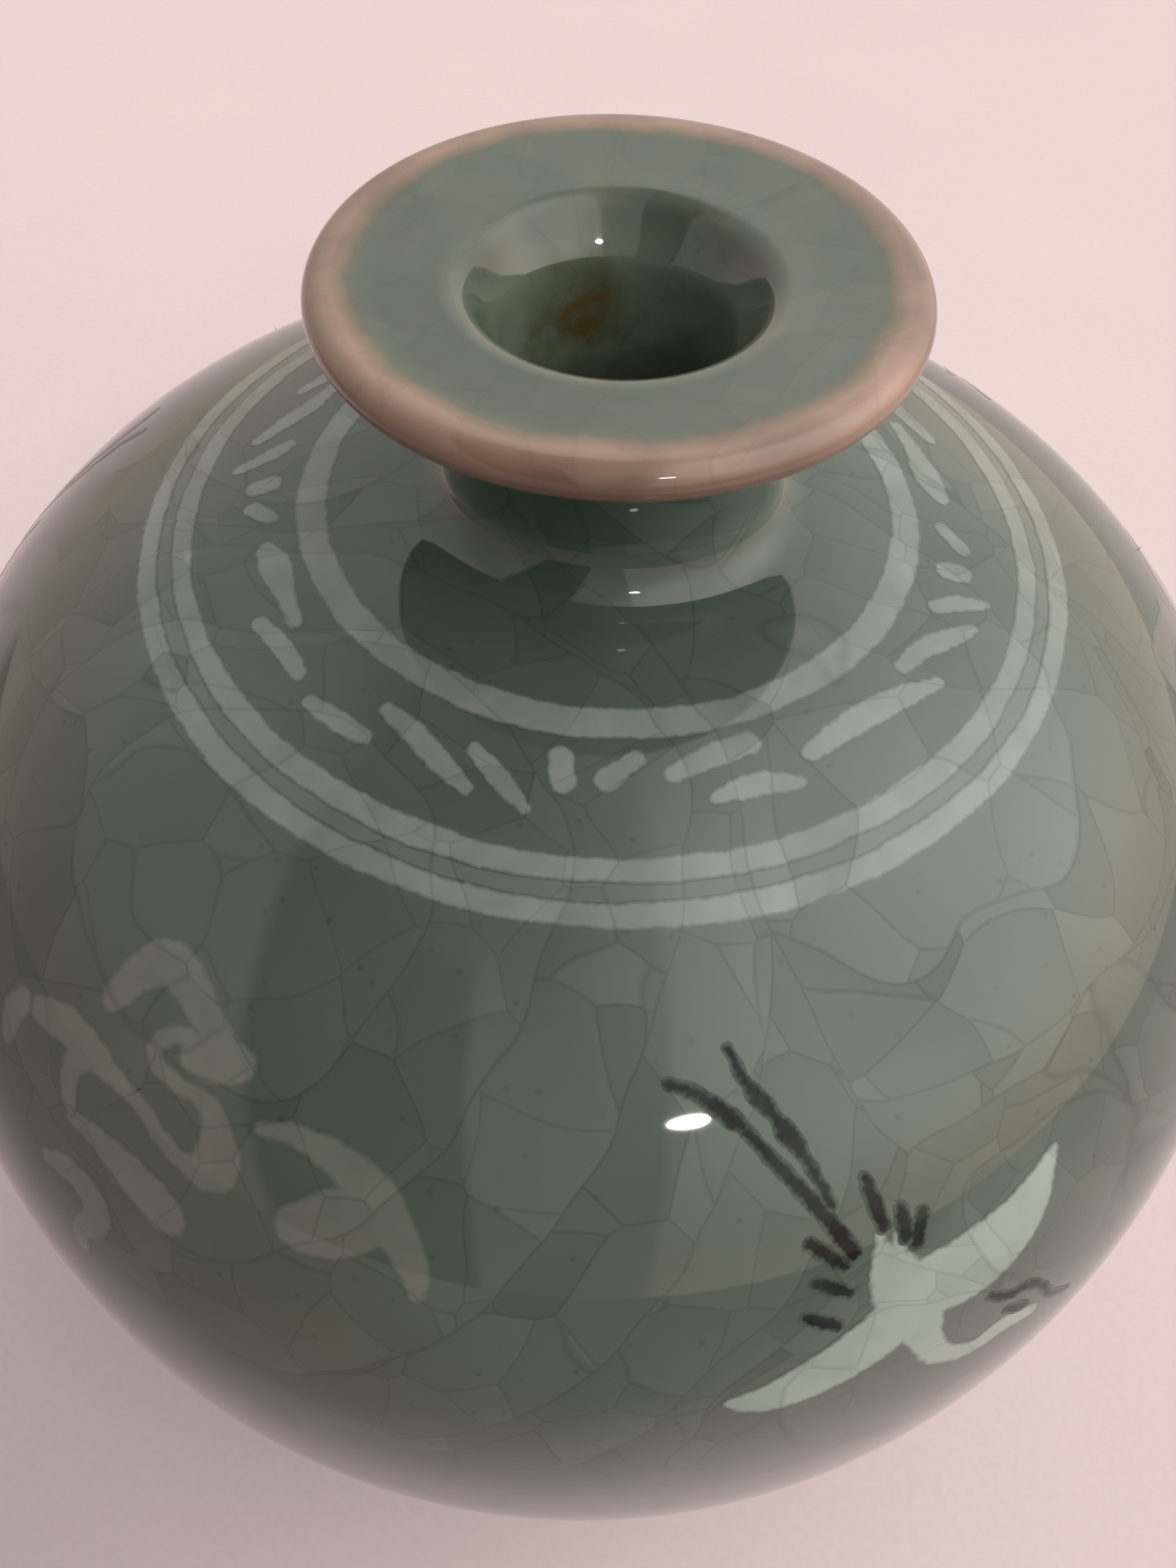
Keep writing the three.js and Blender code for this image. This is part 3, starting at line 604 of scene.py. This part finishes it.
def lip_colour(tree, under):
    """Pinkish clay through thin glaze in lip bands, uneven from the brush, with painted light on the
    right.
    """
    place = add_node(tree, "TexCoord").outputs["Object"]
    across = add_node(tree, "SeparateXYZ", {"Vector": place}).outputs["X"]
    reach = add_node(tree, "TexNoise", {"Vector": place, "Scale": 1 / (5 * MM), "Detail": 3.0})
    reach = {0: reach, 1: LIP_RAGGED, 2: -LIP_RAGGED / 2}
    reach = add_node(tree, "Math", reach, operation="MULTIPLY_ADD")
    reach = {0: add_node(tree, "Attribute", attribute_name="from_lip").outputs["Fac"], 1: reach}
    reach = add_node(tree, "Math", reach, operation="ADD")
    span = add_node(tree, "MapRange", {"Value": reach, "From Min": LIP_FROM, "From Max": LIP_TO})
    band = add_node(tree, "ValToRGB", {"Fac": span})
    ramp = band.color_ramp
    while len(ramp.elements) < len(LIP_BAND):
        ramp.elements.new(1.0)
    for element, (at, code) in zip(ramp.elements, LIP_BAND):
        element.position = (at - LIP_FROM) / (LIP_TO - LIP_FROM)
        element.color = colour(code)
    brush_and_painted_light = add_node(tree, "TexNoise", {"Vector": place, "Scale": 1 / (11 * MM), "Detail": 3.0})
    brush_and_painted_light = {"Value": brush_and_painted_light, "From Min": 0.36, "From Max": 0.60, "To Min": 0.62, "To Max": 1.10}
    # Painted light: the lip is made up to 1.4 times lighter towards the right, where the light falls.
    painted_light_right = {"Value": across, "From Min": 0.0, "From Max": 14 * MM, "To Min": 1.0, "To Max": 1.4}
    brush_and_painted_light = {0: add_node(tree, "MapRange", brush_and_painted_light), 1: add_node(tree, "MapRange", painted_light_right)}
    brush_and_painted_light = add_node(tree, "Math", brush_and_painted_light, operation="MULTIPLY")
    band = add_node(tree, "VectorMath", {0: band, "Scale": brush_and_painted_light}, operation="SCALE")
    low = {"Value": reach, "From Min": -3.5, "From Max": -3.0}
    high = {"Value": reach, "From Min": 3.2, "From Max": 4.1, "To Min": 1.0, "To Max": 0.0}
    share = {0: add_node(tree, "MapRange", low), 1: add_node(tree, "MapRange", high)}
    return washed(tree, under, (add_node(tree, "Math", share, operation="MULTIPLY"), band))


def stained_colour(tree, under):
    """A ragged brown stain on the back left wall of the throat, with an olive halo round it."""
    place = add_node(tree, "TexCoord").outputs["Object"]
    away = add_node(tree, "VectorMath", {0: place, 1: Vector(STAIN) * MM}, operation="DISTANCE")
    ragged = {"Vector": place, "Scale": 1 / (2.4 * MM), "Detail": 3.0, "Roughness": 0.6}
    ragged = add_node(tree, "TexNoise", ragged)
    away = {0: ragged, 1: STAIN_RAGGED * MM, 2: away}
    away = add_node(tree, "Math", away, operation="MULTIPLY_ADD")
    away = add_node(tree, "Math", {0: away, 1: -STAIN_SPREAD * MM}, operation="ADD")
    halo = {"Value": away, "From Min": 2.4 * MM, "From Max": 7.0 * MM, "To Min": 0.75, "To Max": 0.0}
    core = {"Value": away, "From Min": 1.6 * MM, "From Max": 3.2 * MM, "To Min": 0.7, "To Max": 0.0}
    return washed(
        tree,
        under,
        (add_node(tree, "MapRange", halo), colour("#444322")),
        (add_node(tree, "MapRange", core), colour("#5a4119")),
    )


# Crackled celadon glaze: hard and glassy, so it mirrors the room sharply. From the neck up the
# crackle is calmer.
glaze, tree, surface = new_material("crackled_celadon_glaze", Roughness=GLAZE_ROUGHNESS, IOR=GLAZE_IOR)
calm = {"Value": add_node(tree, "Attribute", attribute_name="from_lip").outputs["Fac"]}
calm = calm | {"From Min": -14.0, "From Max": -6.0, "To Min": 1.0, "To Max": 0.38}
under_glaze = stained_colour(tree, lip_colour(tree, pooled_colour(tree, celadon_colour(tree))))
glazed(tree, surface, under_glaze, add_node(tree, "MapRange", calm))
vase.data.materials.append(glaze)
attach(vase, "root")
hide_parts("vase_body")

# The three rings
# White slip brushed into three grooves turned in the shoulder, scraped flush and glazed over. The
# grooves were widened by hand, so the edges waver a little. In millimetres, each ring has its
# radius, its width, and a number of its own for the waver.
GLAZED_OVER = 0.008
SLIP_DEPTH = 0.4
RINGS = {
    "ring_inner": (19.5, 1.8, 0.4),
    "ring_middle": (28.05, 1.3, 2.1),
    "ring_outer": (30.4, 1.25, 4.9),
}
BAND_STEPS = 14
RING_STEPS = 720
EDGE_BLUR = 0.3
WAVER = 0.14
WASH_SIZE = 3.2
TOP_ROW = 100.0
SMOOTH_BELOW = math.radians(40)


def slip_colour(tree, code, blur, grain, grain_size, thin):
    """The colour of the slip seen through the glaze, which fades into the clay's at its edge."""
    place = add_node(tree, "TexCoord").outputs["Object"]
    edge = add_node(tree, "Attribute", attribute_name="from_edge").outputs["Fac"]
    grit = add_node(tree, "TexNoise", {"Vector": place, "Scale": 1 / (grain_size * MM), "Detail": 2.0})
    grit = add_node(tree, "Math", {0: grit, 1: grain, 2: -grain / 2}, operation="MULTIPLY_ADD")
    edge = add_node(tree, "Math", {0: edge, 1: grit}, operation="ADD")
    cover = {"Value": edge, "From Min": 0.0, "From Max": blur}
    cover = add_node(tree, "MapRange", cover, interpolation_type="SMOOTHSTEP")
    wash = add_node(tree, "TexNoise", {"Vector": place, "Scale": 1 / (WASH_SIZE * MM), "Detail": 4.0})
    wash = {"Value": wash, "From Min": 0.3, "From Max": 0.7, "To Min": thin, "To Max": 1.05}
    cover = {0: cover, 1: add_node(tree, "MapRange", wash)}
    cover = add_node(tree, "Math", cover, operation="MULTIPLY")
    return washed(tree, celadon_colour(tree), (cover, colour(code)))


def slip_material(name, code, blur=EDGE_BLUR, grain=0.26, grain_size=0.6, thin=0.68, shine=0.5):
    """A slip under the crackled glaze: its colour, how soft and grainy its edge is, how thin it lies."""
    made, tree, surface = new_material(name, Roughness=GLAZE_ROUGHNESS, IOR=GLAZE_IOR)
    glazed(tree, surface, slip_colour(tree, code, blur, grain, grain_size, thin), shine=shine)
    return made


# White slip: fine white clay, brushed on thin. Under the glaze it is a soft grey white, uneven, with
# a blurred and grainy edge.
white_slip = slip_material("white_slip_under_glaze", "#78817b")


def finish_slip(piece, material, node=None):
    """Gives a slip inlay its depth in the clay, its finish and its place on the vase."""
    bpy.ops.object.select_all(action="DESELECT")
    bpy.context.view_layer.objects.active = piece
    piece.select_set(True)
    depth = piece.modifiers.new("depth", "SOLIDIFY")
    depth.thickness, depth.offset = SLIP_DEPTH * MM, -1
    bpy.ops.object.modifier_apply(modifier=depth.name)
    bpy.ops.object.shade_smooth_by_angle(angle=SMOOTH_BELOW)
    piece.data.materials.clear()
    piece.data.materials.append(material)
    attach(piece, "root")
    if node:
        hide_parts(node)


def waver(turn, seed):
    """A hand's unsteadiness round the vase, from -1 to 1, that closes on itself."""
    beats = {5: 0.30, 11: 0.25, 23: 0.2, 37: 0.15, 61: 0.12, 97: 0.1}
    return sum(share * np.sin(turn * beat + seed * beat) for beat, share in beats.items())


# Each ring is turned as a plain cone, one millimetre down for each row, and its rows are then laid
# side by side on the shoulder.
for name, (radius, width, seed) in RINGS.items():
    line = [(radius + width / 2 * (2 * i / BAND_STEPS - 1), TOP_ROW - i) for i in range(BAND_STEPS + 1)]
    ring = turn_on_wheel(f"{name}_slip", line, RING_STEPS)
    spots = places(ring)
    across = 2 * (TOP_ROW - spots[:, 2]) / BAND_STEPS - 1
    turn = np.arctan2(spots[:, 0], -spots[:, 1])
    outer = width / 2 + EDGE_BLUR / 2 + WAVER * waver(turn, seed)
    inner = width / 2 + EDGE_BLUR / 2 + WAVER * waver(turn, seed + 1.3)
    half = np.where(across > 0, outer, inner)
    radii = radius + across * half
    heights = shoulder_height(radii - GLAZED_OVER, -GLAZED_OVER)
    set_places(ring, np.stack([radii * np.sin(turn), -radii * np.cos(turn), heights], 1))
    set_attribute(ring, "from_edge", (1 - np.abs(across)) * half)
    finish_slip(ring, white_slip, name)

# The leaf sprigs
# Four sprigs of seven short cuts filled with white slip, in the band between two rings. A point of
# a cut has its share of the sprig's span, and its place and half width as shares of the band. A
# sprig has its first azimuth and its span in degrees, from the front towards the right.
BAND_INSIDE = RINGS["ring_inner"][0] + RINGS["ring_inner"][1] / 2
BAND_WIDTH = RINGS["ring_middle"][0] - RINGS["ring_middle"][1] / 2 - BAND_INSIDE
LEFT_SPRIG = [
    [(-0.004, 0.29, 0.100), (0.004, 0.43, 0.107)],
    [(0.102, 0.24, 0.064), (0.064, 0.43, 0.086)],
    [(0.185, 0.31, 0.079), (0.238, 0.26, 0.143), (0.321, 0.27, 0.086), (0.393, 0.30, 0.057)],
    [(0.351, 0.57, 0.064), (0.423, 0.51, 0.086), (0.488, 0.54, 0.071)],
    [(0.548, 0.64, 0.057), (0.607, 0.61, 0.086), (0.667, 0.60, 0.064)],
    [(0.667, 0.31, 0.064), (0.726, 0.36, 0.086), (0.798, 0.50, 0.093), (0.857, 0.63, 0.050)],
    [(0.845, 0.31, 0.057), (0.899, 0.46, 0.086), (0.952, 0.67, 0.050)],
]
RIGHT_SPRIG = [
    [(-0.005, 0.21, 0.100), (0.004, 0.40, 0.107)],
    [(0.129, 0.19, 0.071), (0.076, 0.37, 0.093)],
    [(0.188, 0.34, 0.064), (0.262, 0.23, 0.093), (0.339, 0.19, 0.100)],
    [(0.256, 0.57, 0.057), (0.327, 0.54, 0.093), (0.393, 0.63, 0.057)],
    [(0.440, 0.44, 0.079), (0.524, 0.39, 0.107), (0.631, 0.44, 0.107), (0.732, 0.61, 0.050)],
    [(0.708, 0.30, 0.071), (0.774, 0.34, 0.093), (0.833, 0.49, 0.093), (0.881, 0.64, 0.050)],
    [(0.887, 0.27, 0.064), (0.917, 0.41, 0.086), (0.952, 0.69, 0.050)],
]
SPRIGS = [
    (-88, 84, LEFT_SPRIG),
    (-4, 83.5, RIGHT_SPRIG),
    (79.5, 96.2, LEFT_SPRIG),
    (175.7, 96.3, RIGHT_SPRIG),
]
LEAF_PITCH, STROKE_PITCH = 0.16, 0.2
SNAP, MERGE = 0.6, 0.25
SHAKE, PROBE = 0.03, 0.02


def smooth_line(points, spacing=0.12):
    """A smooth line through the points of a brush stroke: across, up and half width."""
    points = np.array(points, float)
    points = np.vstack([2 * points[0] - points[1], points, 2 * points[-1] - points[-2]])
    line = []
    for a, b, c, d in zip(points, points[1:], points[2:], points[3:]):
        t = np.linspace(0, 1, max(2, int(np.linalg.norm(c - b) / spacing)), endpoint=False)[:, None]
        square = (2 * a - 5 * b + 4 * c - d) * t * t
        cube = (3 * b - a - 3 * c + d) * t ** 3
        line += [*(0.5 * (2 * b + (c - a) * t + square + cube))]
    return np.array(line + [points[-2]])


def outside_strokes(flat, lines, spread, seed):
    """How far flat spots lie outside the brush strokes and the slip's spread: below zero is within."""
    best = np.full(len(flat), 1e3)
    for line in lines:
        for part in np.array_split(line, max(1, len(line) // 40)):
            gap = np.hypot(flat[:, :1] - part[:, 0], flat[:, 1:] - part[:, 1]) - part[:, 2]
            best = np.minimum(best, gap.min(1))
    x, y = flat.T
    shake = np.sin(2.3 * x + 1.7 * y + seed) + np.sin(3.9 * y - 2.9 * x + 2 * seed)
    shake = shake + np.sin(6.1 * x + 5.3 * y)
    return best - spread + SHAKE * shake


def press_strokes(name, strokes, lift, spread=EDGE_BLUR / 2, seed=0.0, pitch=STROKE_PITCH):
    """Cuts a fine sheet to the outline of brush strokes and presses it on the shoulder.

    Its vertices near the outline are first moved on to it, and what lies outside is cut away.
    """
    lines = [smooth_line(points) for points in strokes]
    low = np.min([(line[:, :2] - line[:, 2:]).min(0) for line in lines], 0) - spread - 2 * pitch
    high = np.max([(line[:, :2] + line[:, 2:]).max(0) for line in lines], 0) + spread + 2 * pitch
    counts = [int(n) for n in np.ceil((high - low) / pitch)]
    bpy.ops.object.select_all(action="DESELECT")
    bpy.ops.mesh.primitive_grid_add(x_subdivisions=counts[0], y_subdivisions=counts[1], size=2 * MM)
    sheet = bpy.context.object
    sheet.name = name
    flat = (places(sheet)[:, :2] + 1) / 2 * (np.array(counts) * pitch) + low
    gap = outside_strokes(flat, lines, spread, seed)
    moves = [outside_strokes(flat + move, lines, spread, seed) - gap for move in ((PROBE, 0), (0, PROBE))]
    slope = np.stack(moves, 1)
    slope /= np.maximum(np.linalg.norm(slope, axis=1, keepdims=True), 1e-9)
    near = np.abs(gap) < SNAP * pitch
    flat[near] -= (gap[:, None] * slope)[near]
    gap[near] = 0.0
    set_places(sheet, np.column_stack([flat, np.zeros(len(flat))]))
    set_attribute(sheet, "from_edge", -gap)
    bpy.ops.object.mode_set(mode="EDIT")
    bpy.ops.mesh.select_mode(type="FACE")
    bpy.ops.mesh.select_all(action="SELECT")
    bpy.ops.mesh.quads_convert_to_tris()
    bpy.ops.mesh.select_all(action="DESELECT")
    bpy.ops.object.mode_set(mode="OBJECT")
    corners = np.empty(len(sheet.data.polygons) * 3, int)
    sheet.data.polygons.foreach_get("vertices", corners)
    corners = corners.reshape(-1, 3)
    beyond_edge = (gap[corners] > 0).any(1)
    on_edge = np.flatnonzero(near[corners].all(1) & ~beyond_edge)
    middles = flat[corners[on_edge]].mean(1)
    beyond_edge[on_edge] = outside_strokes(middles, lines, spread, seed) > 0
    sheet.data.polygons.foreach_set("select", beyond_edge)
    bpy.ops.object.mode_set(mode="EDIT")
    bpy.ops.mesh.delete(type="FACE")
    bpy.ops.mesh.select_mode(type="VERT")
    bpy.ops.mesh.select_all(action="SELECT")
    bpy.ops.mesh.remove_doubles(threshold=MERGE * pitch * MM)
    bpy.ops.mesh.delete_loose()
    bpy.ops.object.mode_set(mode="OBJECT")
    set_places(sheet, lift(places(sheet)[:, :2]))
    return sheet


def lift_plan(flat):
    """Drops plan spots on the shoulder, just over the clay."""
    radii = np.hypot(*flat.T)
    return np.column_stack([flat, shoulder_height(radii - GLAZED_OVER, -GLAZED_OVER)])


for sprig, (start, span, strokes) in enumerate(SPRIGS, 1):
    for count, points in enumerate(strokes, 1):
        placed = []
        for turn, across, half in points:
            azimuth = math.radians(start + turn * span)
            radius = BAND_INSIDE + across * BAND_WIDTH
            placed.append((radius * math.sin(azimuth), -radius * math.cos(azimuth), half * BAND_WIDTH))
        node = f"leaf_{sprig}_{count}"
        seed = sprig + 7 * count
        leaf = press_strokes(f"{node}_slip", [placed], lift_plan, seed=seed, pitch=LEAF_PITCH)
        finish_slip(leaf, white_slip, node)

# The cranes
# Three cranes dive to the right with their legs trailing. Body, neck and wings are white slip. Legs,
# feathers, crest and eye are thin cuts of black slip. All are drawn on a flat stencil that is held
# to the shoulder: a point is across, up and half the stroke's width, in millimetres.
MOTIF_DROP = 17.9
CRANE_AZIMUTH = 27
COPIES = 3
CRANE_WHITE = [
    [(-3.2, 1.0, 0.7), (-2.5, -1.6, 1.8), (-1.5, -4.6, 1.9), (-0.7, -7.6, 1.1)],
    [(-0.9, -7.2, 1.2), (0.4, -10.0, 0.95), (3.0, -11.4, 0.8), (5.6, -10.9, 0.95), (7.9, -11.5, 0.65)],
    [(-2.9, 0.5, 0.6), (-3.2, 1.4, 0.4), (-3.4, 2.2, 0.25)],
    [(-2.2, 0.2, 0.5), (-2.3, 1.1, 0.35), (-2.3, 1.8, 0.2)],
    [(-1.5, -2.8, 2.1), (2.4, -3.0, 2.8), (6.2, -1.3, 2.0), (9.1, 2.1, 0.3)],
    [(-1.5, -3.8, 2.2), (-5.2, -6.0, 2.1), (-9.2, -7.4, 1.7), (-11.6, -7.6, 1.1), (-13.1, -7.2, 0.4)],
]
CRANE_BLACK = {
    "legs": [
        [
            (-12.3, 13.9, 0.26), (-11.2, 13.2, 0.30), (-9.8, 11.5, 0.44), (-9.2, 10.6, 0.30),
            (-7.4, 7.1, 0.35), (-5.9, 3.9, 0.40), (-5.0, 1.6, 0.50),
        ],
        [
            (-8.8, 14.8, 0.20), (-8.5, 13.2, 0.26), (-7.9, 11.8, 0.42), (-7.5, 11.0, 0.24),
            (-7.1, 9.8, 0.52), (-6.6, 8.5, 0.30), (-6.1, 6.8, 0.26), (-5.7, 5.2, 0.28),
        ],
    ],
    "tail_feather": [[(-3.5, 6.0, 0.28), (-3.2, 4.2, 0.4), (-3.0, 2.6, 0.34)]],
    "wing_feathers": [
        [(-1.8, 3.4, 0.3), (-1.7, 2.4, 0.42), (-1.7, 1.4, 0.4)],
        [(-0.5, 2.5, 0.35), (-0.8, 1.6, 0.46), (-1.1, 0.6, 0.36)],
    ],
    "crest": [
        [
            (3.9, -6.7, 0.22), (5.3, -7.7, 0.34), (7.2, -8.0, 0.32),
            (8.5, -9.3, 0.28), (9.7, -11.2, 0.28), (11.7, -12.5, 0.18),
        ],
    ],
    "side_feathers": [
        [(-7.3, 3.2, 0.36), (-6.4, 2.1, 0.42), (-5.6, 1.0, 0.34)],
        [(-7.4, 0.5, 0.34), (-6.4, -0.3, 0.4), (-5.6, -0.9, 0.32)],
        [(-8.3, -1.7, 0.3), (-7.4, -2.4, 0.42), (-6.5, -3.1, 0.36)],
    ],
    "eye": [[(5.5, -9.2, 0.24), (6.3, -9.7, 0.42), (7.1, -10.2, 0.3)]],
}
CRANE_NODES = ("legs", "tail_feather", "wing_feathers", "crest")
BLACK_PITCH, BLACK_BLUR = 0.11, 0.34
SLOPE_STEP = 0.05
SEARCH_IN, SEARCH_OUT, SEARCH_HALVINGS = -16.0, 4.0, 40
# Black slip: clay dark with iron, which takes the shine off the glaze over it. Its edge is ragged.
black_slip = slip_material(
    "black_slip_under_glaze", "#151517", blur=BLACK_BLUR, grain=0.5, grain_size=0.32, shine=0.14
)
# Thick white slip: the same white clay laid on thick, so it is the palest and most even of the slips.
white_crane = slip_material(
    "thick_white_slip_under_glaze", "#8b9a92", blur=0.42, grain=0.3, grain_size=0.7, thin=0.86
)


def stencil_lift(azimuth, raised):
    """The move from a stencil, flat against the shoulder at one azimuth, to the clay behind it."""
    height = CROWN_HEIGHT - MOTIF_DROP
    share = (height - BELLY_HEIGHT) / SHOULDER_RISE
    radius = BELLY_RADIUS * (1 - share ** SHOULDER_FULLNESS) ** (1 / SHOULDER_FULLNESS)
    fall = shoulder_height(radius - SLOPE_STEP) - shoulder_height(radius + SLOPE_STEP)
    rise = math.atan2(fall, 2 * SLOPE_STEP)
    turn = math.radians(azimuth)
    outward = np.array([math.sin(turn), -math.cos(turn), 0])
    across = np.array([math.cos(turn), math.sin(turn), 0])
    up = np.array([0, 0, 1]) * math.sin(rise) - outward * math.cos(rise)
    out = np.cross(across, up)
    origin = outward * radius + np.array([0, 0, height])

    def lift(flat):
        """Moves spots of the stencil straight in or out until they lie just over the clay."""
        base = origin + flat[:, :1] * across + flat[:, 1:] * up
        low, high = np.full(len(flat), SEARCH_IN), np.full(len(flat), SEARCH_OUT)
        for _ in range(SEARCH_HALVINGS):
            middle = (low + high) / 2
            spots = base + middle[:, None] * out
            radii = np.hypot(spots[:, 0], spots[:, 1])
            outside = spots[:, 2] > shoulder_height(radii, -raised)
            low, high = np.where(outside, low, middle), np.where(outside, middle, high)
        return base + ((low + high) / 2)[:, None] * out

    return lift


def copies_round(piece, material, kind, part, is_node):
    """Finishes the first piece of a motif and turns its copies round the vase."""
    finish_slip(piece, material, f"{kind}_1_{part}" if is_node else None)
    for copy in range(1, COPIES):
        node = f"{kind}_{copy + 1}_{part}"
        other = piece.copy()
        other.data = piece.data.copy()
        other.name = f"{node}_slip"
        bpy.context.scene.collection.objects.link(other)
        other.data.transform(Matrix.Rotation(math.radians(360 / COPIES * copy), 4, "Z"))
        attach(other, "root")
        if is_node:
            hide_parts(node)


lift = stencil_lift(CRANE_AZIMUTH, GLAZED_OVER)
bird = press_strokes("crane_1_white_slip", CRANE_WHITE, lift, seed=0.4)
copies_round(bird, white_crane, "crane", "white", True)
lift = stencil_lift(CRANE_AZIMUTH, 2 * GLAZED_OVER)
for part, strokes in CRANE_BLACK.items():
    cut = press_strokes(f"crane_1_{part}_slip", strokes, lift, BLACK_BLUR / 2, len(part), BLACK_PITCH)
    copies_round(cut, black_slip, "crane", part, part in CRANE_NODES)

# The clouds
# Between the cranes, three scrolls of cloud in white slip, brushed so thin and loosely that the clay
# shows through. They are drawn and pressed on as the cranes are.
CLOUD_AZIMUTH = -28
CLOUD = {
    "scroll": [
        [
            (-7.5, 7.8, 0.8), (-6.4, 10.0, 1.1), (-5.3, 11.3, 1.2),
            (-3.5, 11.2, 1.2), (-1.6, 10.3, 1.0), (0.4, 9.2, 0.9),
        ],
        [(1.7, 8.9, 1.0), (0.3, 8.4, 1.35), (-1.0, 7.8, 1.0)],
        [
            (-0.6, 8.7, 0.5), (-2.4, 8.4, 0.5), (-3.5, 7.4, 0.5), (-3.4, 6.4, 0.5),
            (-2.4, 5.9, 0.5), (-0.6, 5.9, 0.5), (1.0, 5.9, 0.6),
        ],
        [(1.0, 5.9, 0.6), (2.0, 4.7, 1.0), (2.5, 3.4, 1.45), (2.5, 2.6, 1.5)],
        [
            (2.2, 1.6, 0.8), (0.5, 1.7, 0.6), (-1.2, 2.3, 0.55), (-3.0, 3.2, 0.55),
            (-5.2, 3.7, 0.6), (-7.6, 4.1, 1.1), (-10.0, 4.3, 1.2), (-12.4, 3.8, 0.9),
        ],
        [(-7.7, 4.0, 1.0), (-8.7, 2.5, 0.8), (-8.6, 0.9, 0.7), (-8.2, -0.2, 0.5)],
    ],
    "comma": [
        [
            (4.3, 6.3, 0.4), (6.2, 6.9, 0.6), (8.6, 6.9, 0.95), (11.2, 6.0, 1.35),
            (13.4, 4.3, 1.2), (15.0, 2.5, 0.8), (15.6, 1.0, 0.4),
        ],
        [(11.4, 4.5, 1.9), (10.0, 3.0, 2.0), (8.4, 1.9, 1.5)],
    ],
    "leaf": [
        [(-7.9, -0.8, 0.45), (-5.8, -0.8, 0.75), (-3.4, -1.2, 1.2), (-1.2, -1.9, 1.55), (0.2, -2.4, 1.5)],
    ],
    "tail": [
        [(-9.4, -5.6, 0.6), (-8.2, -5.1, 0.9), (-6.6, -5.0, 1.1), (-5.2, -5.6, 1.2), (-4.8, -6.6, 1.2)],
        [(-4.8, -6.6, 1.2), (-5.0, -7.8, 1.0), (-5.9, -9.0, 0.85), (-6.3, -10.2, 0.7), (-6.1, -11.3, 0.5)],
    ],
    "far_curl": [[(-14.2, 3.4, 0.8), (-14.9, 1.8, 0.9), (-14.9, 0.2, 0.6)]],
}
CLOUD_BLUR = 0.45
# Thin white slip: the clay under it darkens it to grey, and its edge is the softest of the slips.
cloud_slip = slip_material(
    "thin_white_slip_under_glaze", "#676b64", blur=CLOUD_BLUR, grain=0.3, grain_size=0.9
)
lift = stencil_lift(CLOUD_AZIMUTH, GLAZED_OVER)
for part, strokes in CLOUD.items():
    wisp = press_strokes(f"cloud_1_{part}_slip", strokes, lift, CLOUD_BLUR / 2, 3 * len(part))
    copies_round(wisp, cloud_slip, "cloud", part, part != "far_curl")
